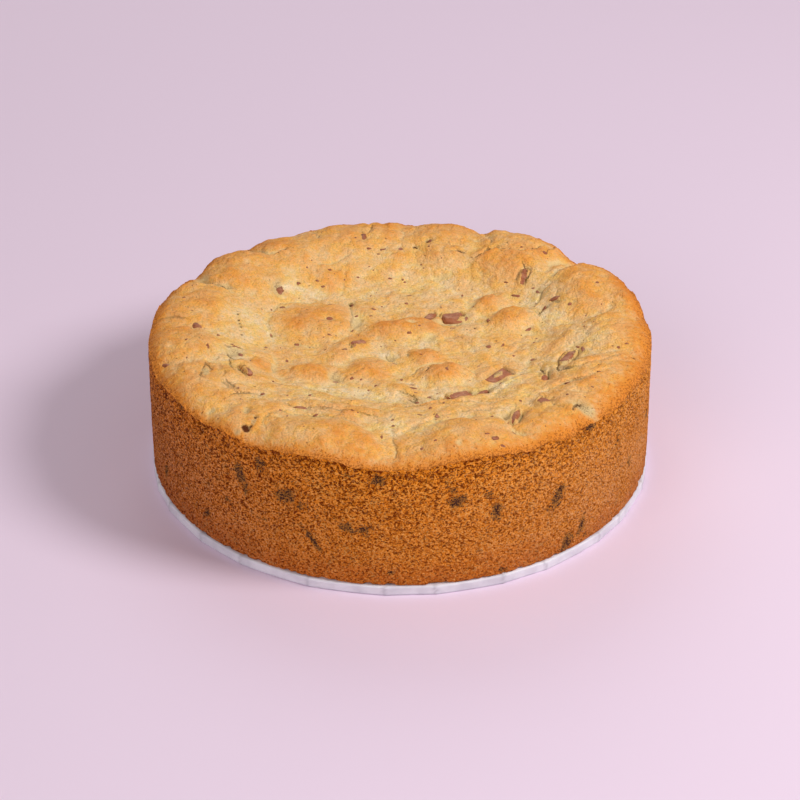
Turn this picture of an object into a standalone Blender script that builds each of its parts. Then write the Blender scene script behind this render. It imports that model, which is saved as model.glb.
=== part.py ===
"""A deep cookie pie baked in a straight-sided 8 inch tin, standing on its round cake board.

Metres, +Z up. The origin is the centre of the board's underside.
"""

import itertools
import math
import random

import bmesh
import bpy
from mathutils import Euler, Matrix, Vector, noise

MM = 0.001

# Driving sizes
BOARD_RADIUS = 101.5 * MM
BOARD_THICKNESS = 4.0 * MM
COOKIE_RADIUS = 100.5 * MM
FIT_GAP = 0.3 * MM

# Heights of the baked top above the table, with the front of the bake a little higher
DISH_FLOOR = 49.0 * MM
RIM_SHELF = 56.5 * MM
DISH_RADIUS = 46.0 * MM
SHELF_RADIUS = 72.0 * MM
DISH_CENTRE = (2.0 * MM, 6.0 * MM)
DISH_STRETCH = 1.1
FRONT_LEAN = 0.019

# The outer shoulder, where the free top rolls over to the side that the tin shaped
SHOULDER_RADIUS = 91.0 * MM
SHOULDER_DROP = 2.6 * MM
SHOULDER_TURN = math.radians(70)

# Unevenness of the bake
CREASE_SOFTNESS = 0.7 * MM
PILLOW_CURVE = 0.8
CRUST_SWELL = 0.45 * MM
CRUST_WAVE = 13.0 * MM
CRUST_SEED = 3.1
SIDE_SWELL = 0.35 * MM
SIDE_WAVE = 24.0 * MM
SIDE_SEED = 5.7
BASE_ROUND = 0.7 * MM
BASE_RAGGED = 0.5 * MM
BASE_WAVE = 6.0 * MM
BASE_SEED = 9.2

# Mesh density
SHARP_ANGLE = math.radians(30)
TOP_CELLS = 56
SIDE_ROWS = 7
BOARD_SIDES = 72
PLEAT_EVERY = 3
PLEAT_DEPTH = 0.25 * MM
BOARD_EDGE_ROUND = 0.5 * MM

# Lobes and folds that follow the rim, in millimetres and degrees:
# bearing and distance of the middle, half length along the rim, half width across it, rise
RIM_LOBES = (
    (166, 87, 21, 21, 4.9),
    (143, 87, 17, 19, 4.9),
    (124, 87, 13, 18, 4.0),
    (106, 87, 28, 19, 3.6),
    (78, 88, 15, 18, 3.7),
    (55, 90, 21, 17, 4.9),
    (26, 88, 24, 23, 5.4),
    (0, 88, 19, 19, 3.9),
    (-25, 88, 24, 20, 3.9),
    (-43, 88, 14, 18, 3.9),
    (-55, 91, 13, 15, 3.7),
    (-72, 88, 24, 18, 5.5),
    (-110, 88, 27, 16, 6.0),
    (-131, 88, 14, 17, 3.9),
    (-150, 87, 23, 19, 4.3),
    (-172, 87, 18, 19, 4.4),
)
WALL_FOLDS = (
    (-68, 55, 20, 5.5, 3.4),
    (-112, 64, 26, 5, 2.2),
    (-120, 55, 27, 4.5, 2.2),
    (-128, 46, 22, 4.5, 1.9),
    (-100, 50, 16, 5, 2.2),
    (-155, 66, 15, 5, 1.8),
    (-38, 62, 14, 6, 2.2),
)

# Mounds inside the rim, in millimetres and degrees:
# across, away, half length, half width, turn, rise
MOUNDS = (
    (-36, 21, 20, 17, 8, 3.6),
    (1, 14, 17, 9, 18, 3.8),
    (-21, -1, 16, 8, 38, 3.0),
    (-12, -16, 11, 9, 0, 3.0),
    (-35, -21, 15, 10, -5, 3.0),
    (-57, -13, 7, 7, 0, 3.0),
    (18, -22, 12, 9, 10, 4.0),
    (10, -7, 8, 6, 0, 2.8),
    (47, 23, 13, 9, 15, 4.2),
    (37, 36, 10, 7, 25, 2.8),
    (45, 60, 18, 13, -20, 4.2),
    (19, 68, 13, 9, 0, 2.8),
    (-30, 54, 12, 7, 0, 2.2),
    (-56, 46, 14, 11, 40, 2.8),
    (-10, 62, 16, 11, 10, 2.2),
    (10, 40, 20, 12, 0, 1.6),
    (45, -33, 13, 8, 35, 3.0),
    (62, 0, 16, 10, 20, 2.4),
    (35, 4, 14, 9, 0, 2.0),
    (-64, 14, 13, 17, 0, 2.4),
    (-3, -34, 14, 7, -10, 2.2),
    (70, 30, 10, 8, 30, 2.2),
)

# Chocolate chunks that show in the top, in millimetres and degrees:
# name, across, away, length, width, depth, turn, proud
CHUNKS = (
    ("chunk_centre", 21.2, 27.3, 9.0, 8.0, 5.0, 5, 0.5),
    ("chunk_centre_small", 12.2, 27.0, 3.8, 7.0, 4.0, -15, 0.4),
    ("chunk_front_long", 22.8, -37.0, 9.5, 6.5, 4.5, 22, 0.8),
    ("chunk_front_short", 32.2, -37.0, 4.2, 6.5, 4.5, -18, 0.8),
    ("chunk_ring", 38.7, -21.7, 12.0, 6.2, 4.5, 45, 0.3),
    ("chunk_pocket", 66.0, -16.0, 14.0, 5.0, 4.0, 60, 0.2),
    ("chunk_edge_right", 56.2, -28.0, 4.2, 10.0, 4.0, 0, 0.2),
    ("chunk_back_sliver", 50.8, 49.5, 9.0, 3.6, 5.0, 62, 0.4),
    ("chunk_lobe_front", 54.8, -57.0, 7.5, 4.5, 4.0, -50, 0.5),
    ("chunk_lobe_upright", 43.3, -65.5, 13.0, 3.6, 5.0, 80, 0.4),
    ("chunk_left_corner", -60.2, -29.8, 9.0, 3.6, 4.5, -65, 0.5),
    ("chunk_ridge", -16.6, 2.0, 7.5, 3.4, 4.0, 42, 0.3),
)
CHUNK_UNEVEN = 0.17
CHUNK_TAPER = 0.94
CHUNK_BEVEL = 0.16
POCKET_GROW = 1.6 * FIT_GAP
POCKET_MOUTH = 3.0 * MM
SLOPE_STEP = 2.0 * MM


def smooth_step(low, high, value):
    t = min(max((value - low) / (high - low), 0.0), 1.0)
    return t * t * (3 - 2 * t)


def smooth_max(a, b):
    """The larger of two heights, rounded where they cross."""
    near = max(CREASE_SOFTNESS - abs(a - b), 0.0) / CREASE_SOFTNESS
    return max(a, b) + near * near * CREASE_SOFTNESS / 4


def swell(x, y, z, wave, seed):
    """Slow unevenness between -1 and 1."""
    return noise.noise(Vector((x / wave + seed, y / wave - seed, z / wave + 2 * seed)))


def pillow(along, across, half_length, half_width, rise):
    """Height of one pillow of dough above the dish, zero outside its oval."""
    reach = (along / half_length) ** 2 + (across / half_width) ** 2
    return rise * MM * (1 - reach) ** PILLOW_CURVE if reach < 1 else 0.0


def pillow_lift(x, y):
    """How far the dough stands above the plain dish at a point."""
    x, y = x / MM, y / MM
    distance, bearing = math.hypot(x, y), math.degrees(math.atan2(y, x))
    lift = 0.0
    for middle, radius, half_length, half_width, rise in RIM_LOBES + WALL_FOLDS:
        along = math.radians((bearing - middle + 180) % 360 - 180) * radius
        lift = smooth_max(lift, pillow(along, distance - radius, half_length, half_width, rise))
    for middle_x, middle_y, half_length, half_width, turn, rise in MOUNDS:
        c, s = math.cos(math.radians(turn)), math.sin(math.radians(turn))
        along = (x - middle_x) * c + (y - middle_y) * s
        across = (y - middle_y) * c - (x - middle_x) * s
        lift = smooth_max(lift, pillow(along, across, half_length, half_width, rise))
    return lift


def top_height(x, y):
    """Height of the baked top over a point, before the outer shoulder falls away."""
    distance = math.hypot((x - DISH_CENTRE[0]) / DISH_STRETCH, y - DISH_CENTRE[1])
    climb = smooth_step(DISH_RADIUS, SHELF_RADIUS, distance)
    dish = DISH_FLOOR + (RIM_SHELF - DISH_FLOOR) * climb - FRONT_LEAN * y
    return dish + pillow_lift(x, y) + CRUST_SWELL * swell(x, y, 0, CRUST_WAVE, CRUST_SEED)


def top_point(x, y):
    """Where a point of the unit disc lies on the baked top, from the middle to the tin line."""
    reach = math.hypot(x, y)
    outward = Vector((x, y, 0)).normalized()
    share = SHOULDER_RADIUS / COOKIE_RADIUS
    if reach <= share:
        distance, drop = reach * COOKIE_RADIUS, 0.0
    else:
        turn = min((reach - share) / (1 - share), 1.0) * SHOULDER_TURN
        width = COOKIE_RADIUS - SHOULDER_RADIUS
        distance = SHOULDER_RADIUS + width * math.sin(turn) / math.sin(SHOULDER_TURN)
        drop = SHOULDER_DROP * (1 - math.cos(turn)) / (1 - math.cos(SHOULDER_TURN))
    spot = outward * distance
    spot.z = top_height(spot.x, spot.y) - drop
    return spot


def side_share(row):
    """How far down the side a row lies, 0 at the tin line and 1 at the base."""
    if row >= SIDE_ROWS:
        return 1.0
    turn_under = BASE_ROUND / (RIM_SHELF - BOARD_THICKNESS)
    return (1 - turn_under) * row / (SIDE_ROWS - 1)


def side_point(x, y, z, share):
    """A point of the side at the bearing of x and y, a little uneven as the crumb is."""
    outward = Vector((x, y, 0)).normalized()
    spot = outward * COOKIE_RADIUS
    if share < 1:
        fade = math.sin(math.pi * share)
        radius = COOKIE_RADIUS + SIDE_SWELL * fade * swell(*spot.xy, z, SIDE_WAVE, SIDE_SEED)
    else:
        radius = COOKIE_RADIUS - BASE_ROUND + BASE_RAGGED * swell(*spot.xy, z, BASE_WAVE, BASE_SEED)
    return Vector((outward.x * radius, outward.y * radius, z))


def square_to_disc(x, y):
    return x * math.sqrt(1 - y * y / 2), y * math.sqrt(1 - x * x / 2)


def extrude_side(bm):
    """Grows the side down from the open rim of the top, row by row, to the base."""
    base_z = BOARD_THICKNESS + FIT_GAP
    edges = [edge for edge in bm.edges if edge.is_boundary]
    for row in range(1, SIDE_ROWS + 1):
        grown = bmesh.ops.extrude_edge_only(bm, edges=edges)["geom"]
        edges = [item for item in grown if isinstance(item, bmesh.types.BMEdge) and item.is_boundary]
        step = (side_share(row) - side_share(row - 1)) / (1 - side_share(row - 1))
        for vert in {vert for edge in edges for vert in edge.verts}:
            z = vert.co.z + (base_z - vert.co.z) * step
            vert.co = side_point(vert.co.x, vert.co.y, z, side_share(row))
    return edges


def cookie_mesh():
    """The whole cookie: dished top, rolled shoulder, straight side and flat base."""
    bm = bmesh.new()
    bmesh.ops.create_grid(bm, x_segments=TOP_CELLS, y_segments=TOP_CELLS, size=1)
    for vert in bm.verts:
        vert.co = top_point(*square_to_disc(vert.co.x, vert.co.y))
    base_edges = extrude_side(bm)
    bmesh.ops.contextual_create(bm, geom=base_edges)
    return to_mesh(bm, "cookie")


def uneven_block(length, width, depth, seed, grow=0.0):
    """A flat-topped block of four uneven sides, as where a bar of chocolate broke."""
    draw = random.Random(seed)
    pull = CHUNK_UNEVEN * min(length, width)
    corners = {}
    for corner in itertools.product((-1, 1), repeat=2):
        corners[corner] = (draw.uniform(-pull, pull), draw.uniform(-pull, pull))
    bm = bmesh.new()
    bmesh.ops.create_cube(bm, size=2)
    for vert in bm.verts:
        x, y, z = (round(side) for side in vert.co)
        taper = CHUNK_TAPER if z > 0 else 1.0
        pulled_x, pulled_y = corners[x, y]
        vert.co.x = taper * (x * (length / 2 + grow) + pulled_x)
        vert.co.y = taper * (y * (width / 2 + grow) + pulled_y)
        vert.co.z = z * (depth / 2 + grow)
    return bm


def chunk_mesh(name, length, width, depth, seed):
    """A broken piece of chocolate with blunt edges."""
    bm = uneven_block(length, width, depth, seed)
    bmesh.ops.bevel(
        bm, geom=bm.edges[:], offset=CHUNK_BEVEL * min(length, width, depth), segments=1,
        profile=0.5, affect="EDGES", material=-1,
    )
    return to_mesh(bm, name)


def pocket_mesh(name, length, width, depth, seed):
    """The same block grown by the gap all round, its walls carried on upwards to open the pocket."""
    bm = uneven_block(length, width, depth, seed, POCKET_GROW)
    uprights = [edge for edge in bm.edges if edge.verts[0].co.z * edge.verts[1].co.z < 0]
    for edge in uprights:
        low, high = sorted(edge.verts, key=lambda vert: vert.co.z)
        along = high.co - low.co
        high.co += along * (POCKET_MOUTH / along.z)
    return to_mesh(bm, name)


def chunk_place(x, y, depth, turn, proud):
    """Lays a chunk's flat top along the dough around it, standing slightly proud."""
    slope_x = (top_height(x + SLOPE_STEP, y) - top_height(x - SLOPE_STEP, y)) / (2 * SLOPE_STEP)
    slope_y = (top_height(x, y + SLOPE_STEP) - top_height(x, y - SLOPE_STEP)) / (2 * SLOPE_STEP)
    normal = Vector((-slope_x, -slope_y, 1)).normalized()
    lean = Vector((0, 0, 1)).rotation_difference(normal).to_matrix().to_4x4()
    spot = Vector((x, y, top_height(x, y))) + normal * (proud - depth / 2)
    return Matrix.Translation(spot) @ lean @ Euler((0, 0, turn)).to_matrix().to_4x4()


def board_mesh():
    """A thin round board wrapped in paper, its edge drawn in at the pleats."""
    bm = bmesh.new()
    bmesh.ops.create_cone(
        bm, cap_ends=True, segments=BOARD_SIDES, radius1=BOARD_RADIUS, radius2=BOARD_RADIUS,
        depth=BOARD_THICKNESS, matrix=Matrix.Translation((0, 0, BOARD_THICKNESS / 2)),
    )
    step = 2 * math.pi / BOARD_SIDES
    for vert in bm.verts:
        number = round(math.atan2(vert.co.y, vert.co.x) / step)
        if number % PLEAT_EVERY == 0:
            vert.co.xy *= 1 - PLEAT_DEPTH / BOARD_RADIUS
    rims = [edge for edge in bm.edges if edge.verts[0].co.z == edge.verts[1].co.z]
    bmesh.ops.bevel(
        bm, geom=rims, offset=BOARD_EDGE_ROUND, segments=1,
        profile=0.5, affect="EDGES", material=-1,
    )
    return to_mesh(bm, "cake_board")


def to_mesh(bm, name):
    bmesh.ops.recalc_face_normals(bm, faces=bm.faces)
    mesh = bpy.data.meshes.new(name)
    bm.to_mesh(mesh)
    bm.free()
    mesh.shade_smooth()
    mesh.set_sharp_from_angle(angle=SHARP_ANGLE)
    return mesh


def material(name, colour, roughness):
    made = bpy.data.materials.new(name)
    made.use_nodes = True
    shader = made.node_tree.nodes["Principled BSDF"]
    shader.inputs["Base Color"].default_value = (*colour, 1)
    shader.inputs["Roughness"].default_value = roughness
    shader.inputs["Metallic"].default_value = 0
    return made


def add_object(name, mesh, collection, finish=None):
    thing = bpy.data.objects.new(name, mesh)
    if finish:
        mesh.materials.append(finish)
    collection.objects.link(thing)
    return thing


def cut_pocket(cookie, cutter):
    cut = cookie.modifiers.new(cutter.name, "BOOLEAN")
    cut.operation = "DIFFERENCE"
    cut.solver = "MANIFOLD"
    cut.object = cutter


def add_collection(name):
    made = bpy.data.collections.new(name)
    bpy.context.scene.collection.children.link(made)
    return made


def main():
    for thing in list(bpy.data.objects):
        bpy.data.objects.remove(thing)

    parts = add_collection("cookie_pie")
    cutters = add_collection("cutters")

    paper = material("white_paper", (0.86, 0.85, 0.86), 0.55)
    add_object("cake_board", board_mesh(), parts, paper)

    dough = material("baked_dough", (0.62, 0.34, 0.13), 0.85)
    cookie = add_object("cookie", cookie_mesh(), parts, dough)

    chocolate = material("milk_chocolate", (0.22, 0.085, 0.04), 0.5)
    for seed, (name, across, away, length, width, depth, turn, proud) in enumerate(CHUNKS):
        sizes = [size * MM for size in (length, width, depth)]
        place = chunk_place(across * MM, away * MM, depth * MM, math.radians(turn), proud * MM)
        chunk = add_object(name, chunk_mesh(name, *sizes, seed), parts, chocolate)
        chunk.matrix_world = place
        pocket = add_object(name + "_pocket", pocket_mesh(name + "_pocket", *sizes, seed), cutters)
        pocket.matrix_world = place
        pocket.display_type = "WIRE"
        pocket.hide_render = True
        cut_pocket(cookie, pocket)


main()
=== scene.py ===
import math
import random

import bmesh
import bpy
import numpy as np
from mathutils import Matrix, Vector, noise
from mathutils.bvhtree import BVHTree


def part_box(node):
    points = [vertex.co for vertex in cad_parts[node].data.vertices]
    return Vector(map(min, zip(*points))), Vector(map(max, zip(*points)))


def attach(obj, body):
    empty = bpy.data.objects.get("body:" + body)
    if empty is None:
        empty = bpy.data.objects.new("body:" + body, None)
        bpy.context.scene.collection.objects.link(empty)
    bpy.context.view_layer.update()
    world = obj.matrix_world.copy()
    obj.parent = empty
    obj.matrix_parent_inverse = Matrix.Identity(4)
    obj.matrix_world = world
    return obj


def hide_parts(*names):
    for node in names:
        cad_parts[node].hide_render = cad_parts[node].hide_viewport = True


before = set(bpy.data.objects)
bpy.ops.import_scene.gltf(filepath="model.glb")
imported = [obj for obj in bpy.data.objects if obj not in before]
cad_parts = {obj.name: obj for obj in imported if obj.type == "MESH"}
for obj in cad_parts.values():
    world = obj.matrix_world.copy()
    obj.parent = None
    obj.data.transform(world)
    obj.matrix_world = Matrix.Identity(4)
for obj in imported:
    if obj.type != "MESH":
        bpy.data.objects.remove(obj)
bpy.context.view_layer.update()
mm = 0.001
print("frame loaded")


# Colours are written as they look on screen, 0 to 255, and turned into light values here
def seen(red, green, blue):
    parts = [channel / 255 for channel in (red, green, blue)]
    linear = [part / 12.92 if part <= 0.04045 else ((part + 0.055) / 1.055) ** 2.4 for part in parts]
    return (*linear, 1)


class Flow:  # one output of a material's nodes, for sums written plainly
    def __init__(self, tree, socket=None):
        self.tree = tree
        self.socket = socket

    def node(self, kind, settings, values, output=0):  # settings are set first, then the sockets
        made = self.tree.nodes.new(kind)
        for name, value in settings.items():
            if name == "stops":
                layStops(made.color_ramp, value)
            else:
                setattr(made, name, value)
        for name, value in values.items():
            join(self.tree, value, made.inputs[name])
        return Flow(self.tree, made.outputs[output])

    def maths(self, operation, *values):  # this value first, then the others
        return self.node("ShaderNodeMath", {"operation": operation}, dict(enumerate((self, *values))))

    def __add__(self, other):
        return self.maths("ADD", other)

    def __radd__(self, other):
        return self.maths("ADD", other)

    def __sub__(self, other):
        return self.maths("SUBTRACT", other)

    def __rsub__(self, other):
        return self.maths("MULTIPLY_ADD", -1, other)

    def __mul__(self, other):
        return self.maths("MULTIPLY", other)

    def __rmul__(self, other):
        return self.maths("MULTIPLY", other)

    def ease(self, low, high):  # 0 below low, 1 above high, smooth between
        settings = {"interpolation_type": "SMOOTHSTEP"}
        return self.node("ShaderNodeMapRange", settings, {"Value": self, "From Min": low, "From Max": high})

    def between(self, first, second):  # a colour from first at 0 to second at 1
        return self.node("ShaderNodeMix", {"data_type": "RGBA"}, {0: self, 6: first, 7: second}, 2)

    def tintedBy(self, tint):  # this colour times another
        settings = {"data_type": "RGBA", "blend_type": "MULTIPLY"}
        return self.node("ShaderNodeMix", settings, {0: 1, 6: self, 7: tint}, 2)

    def ramp(self, stops):
        return self.node("ShaderNodeValToRGB", {"stops": stops}, {"Fac": self})

    def grain(self, size, detail=2.0, rough=0.5):  # cloudy noise about size metres across
        values = {"Vector": self, "Scale": 1 / size, "Detail": detail, "Roughness": rough}
        return self.node("ShaderNodeTexNoise", {}, values)

    def cells(self, size, output=0):  # distance to the nearest of scattered points, or its colour
        return self.node("ShaderNodeTexVoronoi", {}, {"Vector": self, "Scale": 1 / size}, output)

    def moved(self, place=(0, 0, 0), stretch=(1, 1, 1)):
        return self.node("ShaderNodeMapping", {}, {"Vector": self, "Location": place, "Scale": stretch})

    def painted(self, name):  # a value kept at each point of the mesh
        return self.node("ShaderNodeAttribute", {"attribute_name": name}, {}, 2)

    def bump(self, strength, depth):  # a surface dented by this value
        return self.node("ShaderNodeBump", {}, {"Strength": strength, "Distance": depth, "Height": self})


def join(tree, value, target):
    if isinstance(value, Flow):
        tree.links.new(value.socket, target)
    else:
        target.default_value = value


def layStops(ramp, stops):
    while len(ramp.elements) < len(stops):
        ramp.elements.new(1)
    for element, (place, colour) in zip(ramp.elements, stops):
        element.position = place
        element.color = colour


def startFinish(name):  # a new material, its shader and its place on the object
    made = bpy.data.materials.new(name)
    made.use_nodes = True
    shader = made.node_tree.nodes["Principled BSDF"]
    place = Flow(made.node_tree).node("ShaderNodeTexCoord", {}, {}, 3)
    return made, shader, place


def feed(shader, values):
    for name, value in values.items():
        join(shader.id_data, value, shader.inputs[name])


# Fields: numbers for every point of the crust or the side at once

def scattered(x, y, z, size, seed):  # the points in sizes, each seed in another part of the noise
    shift = Vector((seed * 3.7, seed * -5.3, seed * 2.9))
    heights = (np.zeros(x.shape) + z).ravel()
    return [Vector(point) / size + shift for point in zip(x.ravel(), y.ravel(), heights)]


def cloud(x, y, z, size, seed):  # soft noise between -1 and 1, about size across
    values = [noise.noise(point) for point in scattered(x, y, z, size, seed)]
    return np.array(values).reshape(x.shape)


def cellGap(x, y, z, size, seed):  # distance to the nearest of scattered points, in sizes
    values = [noise.voronoi(point)[0][0] for point in scattered(x, y, z, size, seed)]
    return np.array(values).reshape(x.shape)


def waves(x, y, z, layers, seed):  # several clouds added up, each layer a size in mm and an amount
    x, y, z = x / mm, y / mm, z / mm
    return sum(amount * cloud(x, y, z, size, seed + number) for number, (size, amount) in enumerate(layers))


def wandered(x, y, steps):  # the same places, each moved a little, for uneven outlines
    newX, newY = x, y
    for length, distance, seedX, seedY in steps:
        newX = newX + distance * cloud(x, y, 0, length, seedX)
        newY = newY + distance * cloud(x, y, 0, length, seedY)
    return newX, newY


def ease(low, high, value):
    share = np.clip((value - low) / (high - low), 0, 1)
    return share * share * (3 - 2 * share)


def softened(field, passes):  # each pass mixes every point with its four neighbours
    for _ in range(passes):
        padded = np.pad(field, 1, mode="edge")
        near = padded[2:, 1:-1] + padded[:-2, 1:-1] + padded[1:-1, 2:] + padded[1:-1, :-2]
        field = (near + 4 * field) / 8
    return field


def filledIn(field, holes, passes):  # the holes' values drawn smoothly from what lies around them
    for _ in range(passes):
        field = np.where(holes, softened(field, 1), field)
    return field


def nearLine(x, y, points):  # distance to a line, which side, and how far along it, 0 to 1
    best = np.full(x.shape, 1e9)
    side = np.zeros(x.shape)
    share = np.zeros(x.shape)
    spans = list(zip(points, points[1:]))
    for number, ((startX, startY), (endX, endY)) in enumerate(spans):
        runX, runY = endX - startX, endY - startY
        part = np.clip(((x - startX) * runX + (y - startY) * runY) / (runX ** 2 + runY ** 2), 0, 1)
        gap = np.hypot(x - startX - part * runX, y - startY - part * runY)
        closer = gap < best
        best = np.where(closer, gap, best)
        side = np.where(closer, np.sign((y - startY) * runX - (x - startX) * runY), side)
        share = np.where(closer, (number + part) / len(spans), share)
    return best, side, share


def ovalReach(x, y, spot):  # 0 in the middle of a turned oval, 1 on its edge
    middleX, middleY, halfLength, halfWidth, turn = spot[:5]
    c, s = math.cos(math.radians(turn)), math.sin(math.radians(turn))
    along = (x - middleX) * c + (y - middleY) * s
    across = (y - middleY) * c - (x - middleX) * s
    return np.hypot(along / halfLength, across / halfWidth)


def blot(x, y, spot, power=3):  # 1 in the middle of a turned oval, fading out about its edge
    return np.exp(-ovalReach(x, y, spot) ** power)


def hump(value, middle, half):  # 1 at the middle, fading out at half to each side
    return np.exp(-((value - middle) / half) ** 4)


# Meshes

def mergedCopy(names):  # the solids of some nodes as one merged mesh
    bm = bmesh.new()
    for name in names:
        bm.from_mesh(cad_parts[name].data)
    bmesh.ops.remove_doubles(bm, verts=bm.verts, dist=0.005 * mm)
    return bm


def pulledOut(bm, edges):  # the next ring of edges and vertices, extruded from the last
    grown = bmesh.ops.extrude_edge_only(bm, edges=edges)["geom"]
    edges = [item for item in grown if isinstance(item, bmesh.types.BMEdge) and item.is_boundary]
    return edges, list({vert for edge in edges for vert in edge.verts})


def setOut(name, data):  # a new object in the scene
    thing = bpy.data.objects.new(name, data)
    bpy.context.scene.collection.objects.link(thing)
    return thing


def addPiece(name, bm, finish, insteadOf, fields=None):  # insteadOf: the nodes whose place it takes
    mesh = bpy.data.meshes.new(name)
    bm.to_mesh(mesh)
    bm.free()
    mesh.shade_smooth()
    mesh.materials.append(finish)
    for label, values in (fields or {}).items():
        layer = mesh.attributes.new(label, "FLOAT", "POINT")
        layer.data.foreach_set("value", np.ascontiguousarray(values.ravel(), dtype=np.float32))
    piece = setOut(name, mesh)
    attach(piece, "root")
    if insteadOf:
        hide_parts(*insteadOf)


chunkNames = sorted(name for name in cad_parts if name.startswith("chunk"))
cookieTree = BVHTree.FromBMesh(mergedCopy(["cookie"]))
chunkTree = BVHTree.FromBMesh(mergedCopy(chunkNames))


def castDown(tree, x, y):  # height of the solid under each point, cast from well above it, or nothing
    above = 0.2
    down = Vector((0, 0, -1))
    hits = [tree.ray_cast(Vector((*spot, above)), down)[0] for spot in zip(x.ravel(), y.ravel())]
    return np.array([hit.z if hit else np.nan for hit in hits]).reshape(x.shape)


def nearNode(name, x, y, spare):  # whether each point lies in a node's box, seen from above
    low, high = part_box(name)
    within = (x > low.x - spare) & (x < high.x + spare)
    return within & (y > low.y - spare) & (y < high.y + spare)


# The crust: the whole baked top, from the middle of the dish to the tin line

crust = {
    "cells": 310,  # squares along each side of its grid
    "radius": 100.5 * mm,  # of the tin line
    "shoulder": 0.905,  # share of the radius where the crust starts to roll over
    "shoulderTurn": 70,  # how far it rolls, in degrees
    "smoothing": 10,  # passes over the solid's facets
    "pocketSpare": 2.2 * mm,  # how far past a chunk's box its pocket is filled
    "wander": (1.0, 6.5),  # how far the solid's creases wander, and over what length, in mm
    "steady": (88 * mm, 96 * mm),  # they stop wandering between these distances from the middle
    "calm": (95 * mm, 100 * mm),  # and most of the lift stops between these
    "lumpWander": ((7, 2.4, 31, 32), (2.4, 0.9, 33, 34)),  # length, distance and two seeds
    "fineWander": ((5, 0.8, 45, 47), (2.1, 0.6, 46, 48)),
    "toastWander": ((6, 2.2, 73, 74),),
    "lumpHeight": 0.8,  # share of the heights in the list of lumps
    "bubbles": ((6, 0.6), (2.8, 0.4)),  # size and height of round bumps, in mm
    "swells": ((9, 0.7), (4.2, 0.45), (2.2, 0.28), (1.3, 0.15)),  # and of soft waves
    "tinLine": ((3.6, 0.9), (1.5, 0.6)),  # and of the waves in the tin line
    "patches": ((16, 0.12), (6, 0.1)),  # size and strength of patches that baked browner
    "creaseFade": 0.18,  # share of a crease that fades out at each end
    "stainDip": 0.35,  # how deep the dough dips at a chip, in mm
    "lipReach": 6,  # half width of the line of painted shade in a crease, in mm
    "creaseShadeReach": 1.3,  # half width of the dark line in a crease, in mm
    "openingEdge": ((2.6, 0.3), (1.2, 0.16)),  # size and strength of its raggedness round a chunk
    "openingDepth": 2.4 * mm,  # how deep the crust dips under a chunk
    "lip": 0.3 * mm,  # how far it stands up round a chunk
    "windowSpare": 1.5 * mm,  # how far past a chunk's box its window is kept
}

# Lumps of dough that stand up: across, away, half length, half width, turn, height
lumps = (
    (47, 25, 12, 9, 12, 0.8), (35, 36, 10, 4.5, 45, 1.3), (63, 23, 8, 8, 0, 0.9), (42, 48, 8, 5, -20, 0.8),
    (17, 65, 11, 5, 0, 0.9), (0, 71, 6, 5, 0, 0.7), (-27, 53, 9, 8, 0, 0.9), (-36, 20, 17, 17, 0, 0.5),
    (-3, 17, 19, 7, 14, 0.7), (11, -8, 10, 6, 0, 1), (17, -21, 13, 8, -8, 1), (-37, -23, 13, 8, 0, 0.9),
    (-55, -20, 5.5, 5, 0, 1.3), (-15, -20, 14, 9, 5, 0.7), (41, -38, 10, 4.5, 52, 1.3),
    (49, -28, 10, 3.6, 48, 1.1), (32, -26, 5, 4, 0, 0.8), (70, -27, 13, 4.5, 22, 1),
    (86, -21, 7, 4.5, 0, 0.9), (-47, -73, 6, 5, 10, 0.8), (73, -50, 16, 10, 40, 1.1),
    (58.5, -71, 12, 8, 38, 1.4), (-36, -76, 20, 10, -14, 0.5), (22, -78, 22, 11, 10, 0.5),
    (-79, -42, 10, 14, 20, 0.5), (-82, -12, 10, 13, 0, 0.5), (84, 10, 10, 14, 0, 0.5),
    (-80, 28, 12, 12, 0, 0.5), (52, 2, 11, 8, 30, 0.6), (25, 4, 8, 7, 0, 0.6), (68, 2, 7, 9, 20, 0.6),
    (-50, -36, 12, 5, -12, 0.7), (93, 20, 7, 11, -12, 1.4), (-22, -32, 11, 5, 8, 0.7),
    (2, -33, 9, 5, 10, 0.7), (-66, -36, 7, 4, -35, 0.8), (-62, 60, 10, 9, 0, 0.5),
    (78, 40, 13, 16, 20, 0.5), (-87, 33, 7, 8, 20, 1.3), (13, 45, 9, 8, 0, 0.3), (-8, 50, 10, 10, 0, 0.3),
    (-66, 26, 9, 12, 0, 0.4), (-57, 6, 6, 8, 0, 0.5), (-41, -6, 9, 5, 0, 0.5), (-14, 30, 5, 9, 0, 0.4),
    (-76, 50, 9, 8, 30, 0.4),
)

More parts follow.
